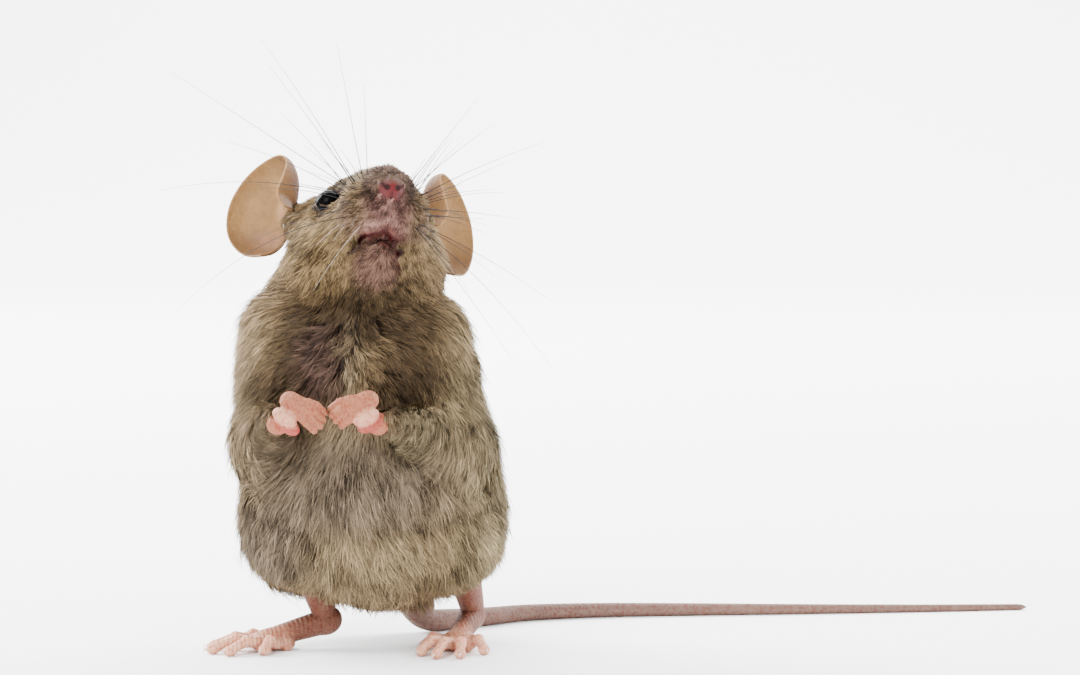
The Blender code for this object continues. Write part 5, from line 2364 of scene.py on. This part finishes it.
@dataclass
class Studio:
    """The sweep and the soft lights, in metres, and the camera, in millimetres and degrees."""

    home: Vector
    floor_front: float = -3.0
    floor_back: float = 0.9
    curve: float = 0.8
    height: float = 4.0
    width: float = 8.0
    sensor: float = 36
    lens: float = 106.67
    camera_at: Triple = (21.9, -400, 66)
    camera_dip: float = 3.78
    daylight: float = 1.6

    def sweep(self) -> bpy.types.Object:
        """The floor, rising behind into a wall.

        Returns:
            The sweep's object.
        """
        bm = bmesh.new()
        back, curve = self.floor_back, self.curve
        profile = [(self.floor_front, 0.0), (back, 0.0)]
        turns = np.linspace(0.1, 1.57, 16)
        profile += [(back + curve * math.sin(a), curve - curve * math.cos(a)) for a in turns]
        profile += [(back + curve, self.height)]
        verts = [bm.verts.new((-self.width / 2, y, z)) for y, z in profile]
        edges = [bm.edges.new(pair) for pair in zip(verts, verts[1:])]
        made = bmesh.ops.extrude_edge_only(bm, edges=edges)["geom"]
        moved = [v for v in made if isinstance(v, bmesh.types.BMVert)]
        bmesh.ops.translate(bm, verts=moved, vec=(self.width, 0, 0))
        bmesh.ops.recalc_face_normals(bm, faces=bm.faces)
        if sum(f.normal.z for f in bm.faces) < 0:
            bmesh.ops.reverse_faces(bm, faces=bm.faces)
        mesh = mesh_of("sweep", bm)
        mesh.shade_smooth()
        mesh.materials.append(StudioFinish().material())
        return loose_object("sweep", mesh)

    def camera(self) -> None:
        """Sets the camera a little above the nose, and a little to the mouse's left."""
        camera = bpy.data.cameras.new("camera")
        camera.sensor_width = self.sensor
        camera.lens = self.lens
        camera.clip_start = 0.01
        obj = bpy.data.objects.new("camera", camera)
        bpy.context.scene.collection.objects.link(obj)
        obj.location = mm(*self.camera_at) + self.home
        obj.rotation_euler = (math.radians(90 - self.camera_dip), 0, 0)
        bpy.context.scene.camera = obj

    def light(
        self, name: str, at: Triple, size: float, watts: float,
        target: Vector | None = None,
    ) -> None:
        """Adds one soft square light, aimed at a target or the mouse's chest.

        Args:
            name: the light's name.
            at: where it hangs.
            size: its side.
            watts: its power.
            target: what it is aimed at, or None.
        """
        lamp = bpy.data.lights.new(name, "AREA")
        lamp.size = size
        lamp.energy = watts
        obj = bpy.data.objects.new(name, lamp)
        bpy.context.scene.collection.objects.link(obj)
        obj.location = Vector(at)
        aim = Vector(at) - (target or self.home + mm(0, 0, 35))
        obj.rotation_euler = aim.to_track_quat("Z", "Y").to_euler()

    def build(self) -> None:
        """Sets up the whole studio."""
        self.sweep()
        self.camera()
        self.light("key", (-0.45, -0.75, 0.85), 0.6, 24)
        self.light("fill", (0.9, -0.8, 0.5), 0.8, 12)
        self.light("rim", (-0.7, 0.4, 0.5), 0.5, 30)
        self.light("far_rim", (0.8, 0.5, 0.5), 0.5, 18)
        self.light("backdrop", (0.0, 0.7, 1.0), 1.0, 60, Vector((0, 1.4, 0)))
        world = bpy.data.worlds.new("studio")
        bpy.context.scene.world = world
        world.use_nodes = True
        background = world.node_tree.nodes["Background"]
        background.inputs["Color"].default_value = (1, 1, 1, 1)
        background.inputs["Strength"].default_value = self.daylight


# ---- the mouse


@dataclass
class Mouse:
    """The whole animal."""

    home: Vector

    def placed(
        self, name: str, mesh: Mesh, material: bpy.types.Material
    ) -> bpy.types.Object:
        """Finishes a piece and puts it where the solids stand.

        Args:
            name: the piece's name.
            mesh: its mesh, about the point between the feet.
            material: its material.

        Returns:
            The piece.
        """
        mesh.transform(Matrix.Translation(self.home))
        mesh.name = name
        mesh.materials.clear()
        mesh.materials.append(material)
        obj = loose_object(name, mesh)
        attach(obj, "root")
        lowest = points_of(mesh)[:, 2].min() / MM
        log.info("%s: %d faces, lowest point %.2f mm", name, len(mesh.polygons), lowest)
        return obj

    def build(self) -> None:
        """Builds every piece of the mouse."""
        bones = trunk_rounds() + head_rounds() + jaw_rounds() + lip_rounds() + pouch_rounds()
        for side in SIDES:
            bones += arm_rounds(side) + leg_rounds(side)
        hollows = [*mouth_rounds(), *nostril_rounds(), philtrum(), *eye_hollows()]
        body = Flesh(bones + nose_rounds(), hollows)
        skin = Skin(body)
        mesh = skin.build()
        points = points_of(mesh)
        normals = np.empty(len(points) * 3)
        mesh.vertices.foreach_get("normal", normals)
        paint(mesh, "tint", skin.tints(points, normals.reshape(-1, 3)))
        paint(mesh, "surface", skin.surface(points))
        mesh.shade_smooth()
        solid = Flesh(bones, eye_hollows())
        coat = Coat(solid, Flesh(mouth_rounds())).build(mesh)
        skin_obj = self.placed("skin", mesh, SkinFinish().material())
        flesh_nodes = [n for n in frame["nodes"] if not n.startswith(("eye_", "whisker_pad_"))]
        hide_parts(*flesh_nodes)
        fur = FurFinish().material()
        for name, piece in coat.items():
            self.placed(name, piece, fur)
        eye, horn, hair = EyeFinish().material(), HornFinish().material(), WhiskerFinish().material()
        for side, name in SIDES.items():
            obj = self.placed(f"eye_ball_{name}", Eye(side).mesh(), eye)
            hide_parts(f"eye_{name}")
            obj = self.placed(f"whiskers_{name}", Whiskers(side).mesh(), hair)
            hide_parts(f"whisker_pad_{name}")
        self.placed("claws", Claws().mesh(), horn)


def main() -> None:
    """Builds the mouse and its studio."""
    logging.basicConfig(level=logging.INFO, format="%(message)s")
    home = home_shift()
    Mouse(home).build()
    Studio(home).build()
    for mesh in list(bpy.data.meshes):
        if not mesh.users:
            bpy.data.meshes.remove(mesh)


if __name__ == "__main__":
    main()
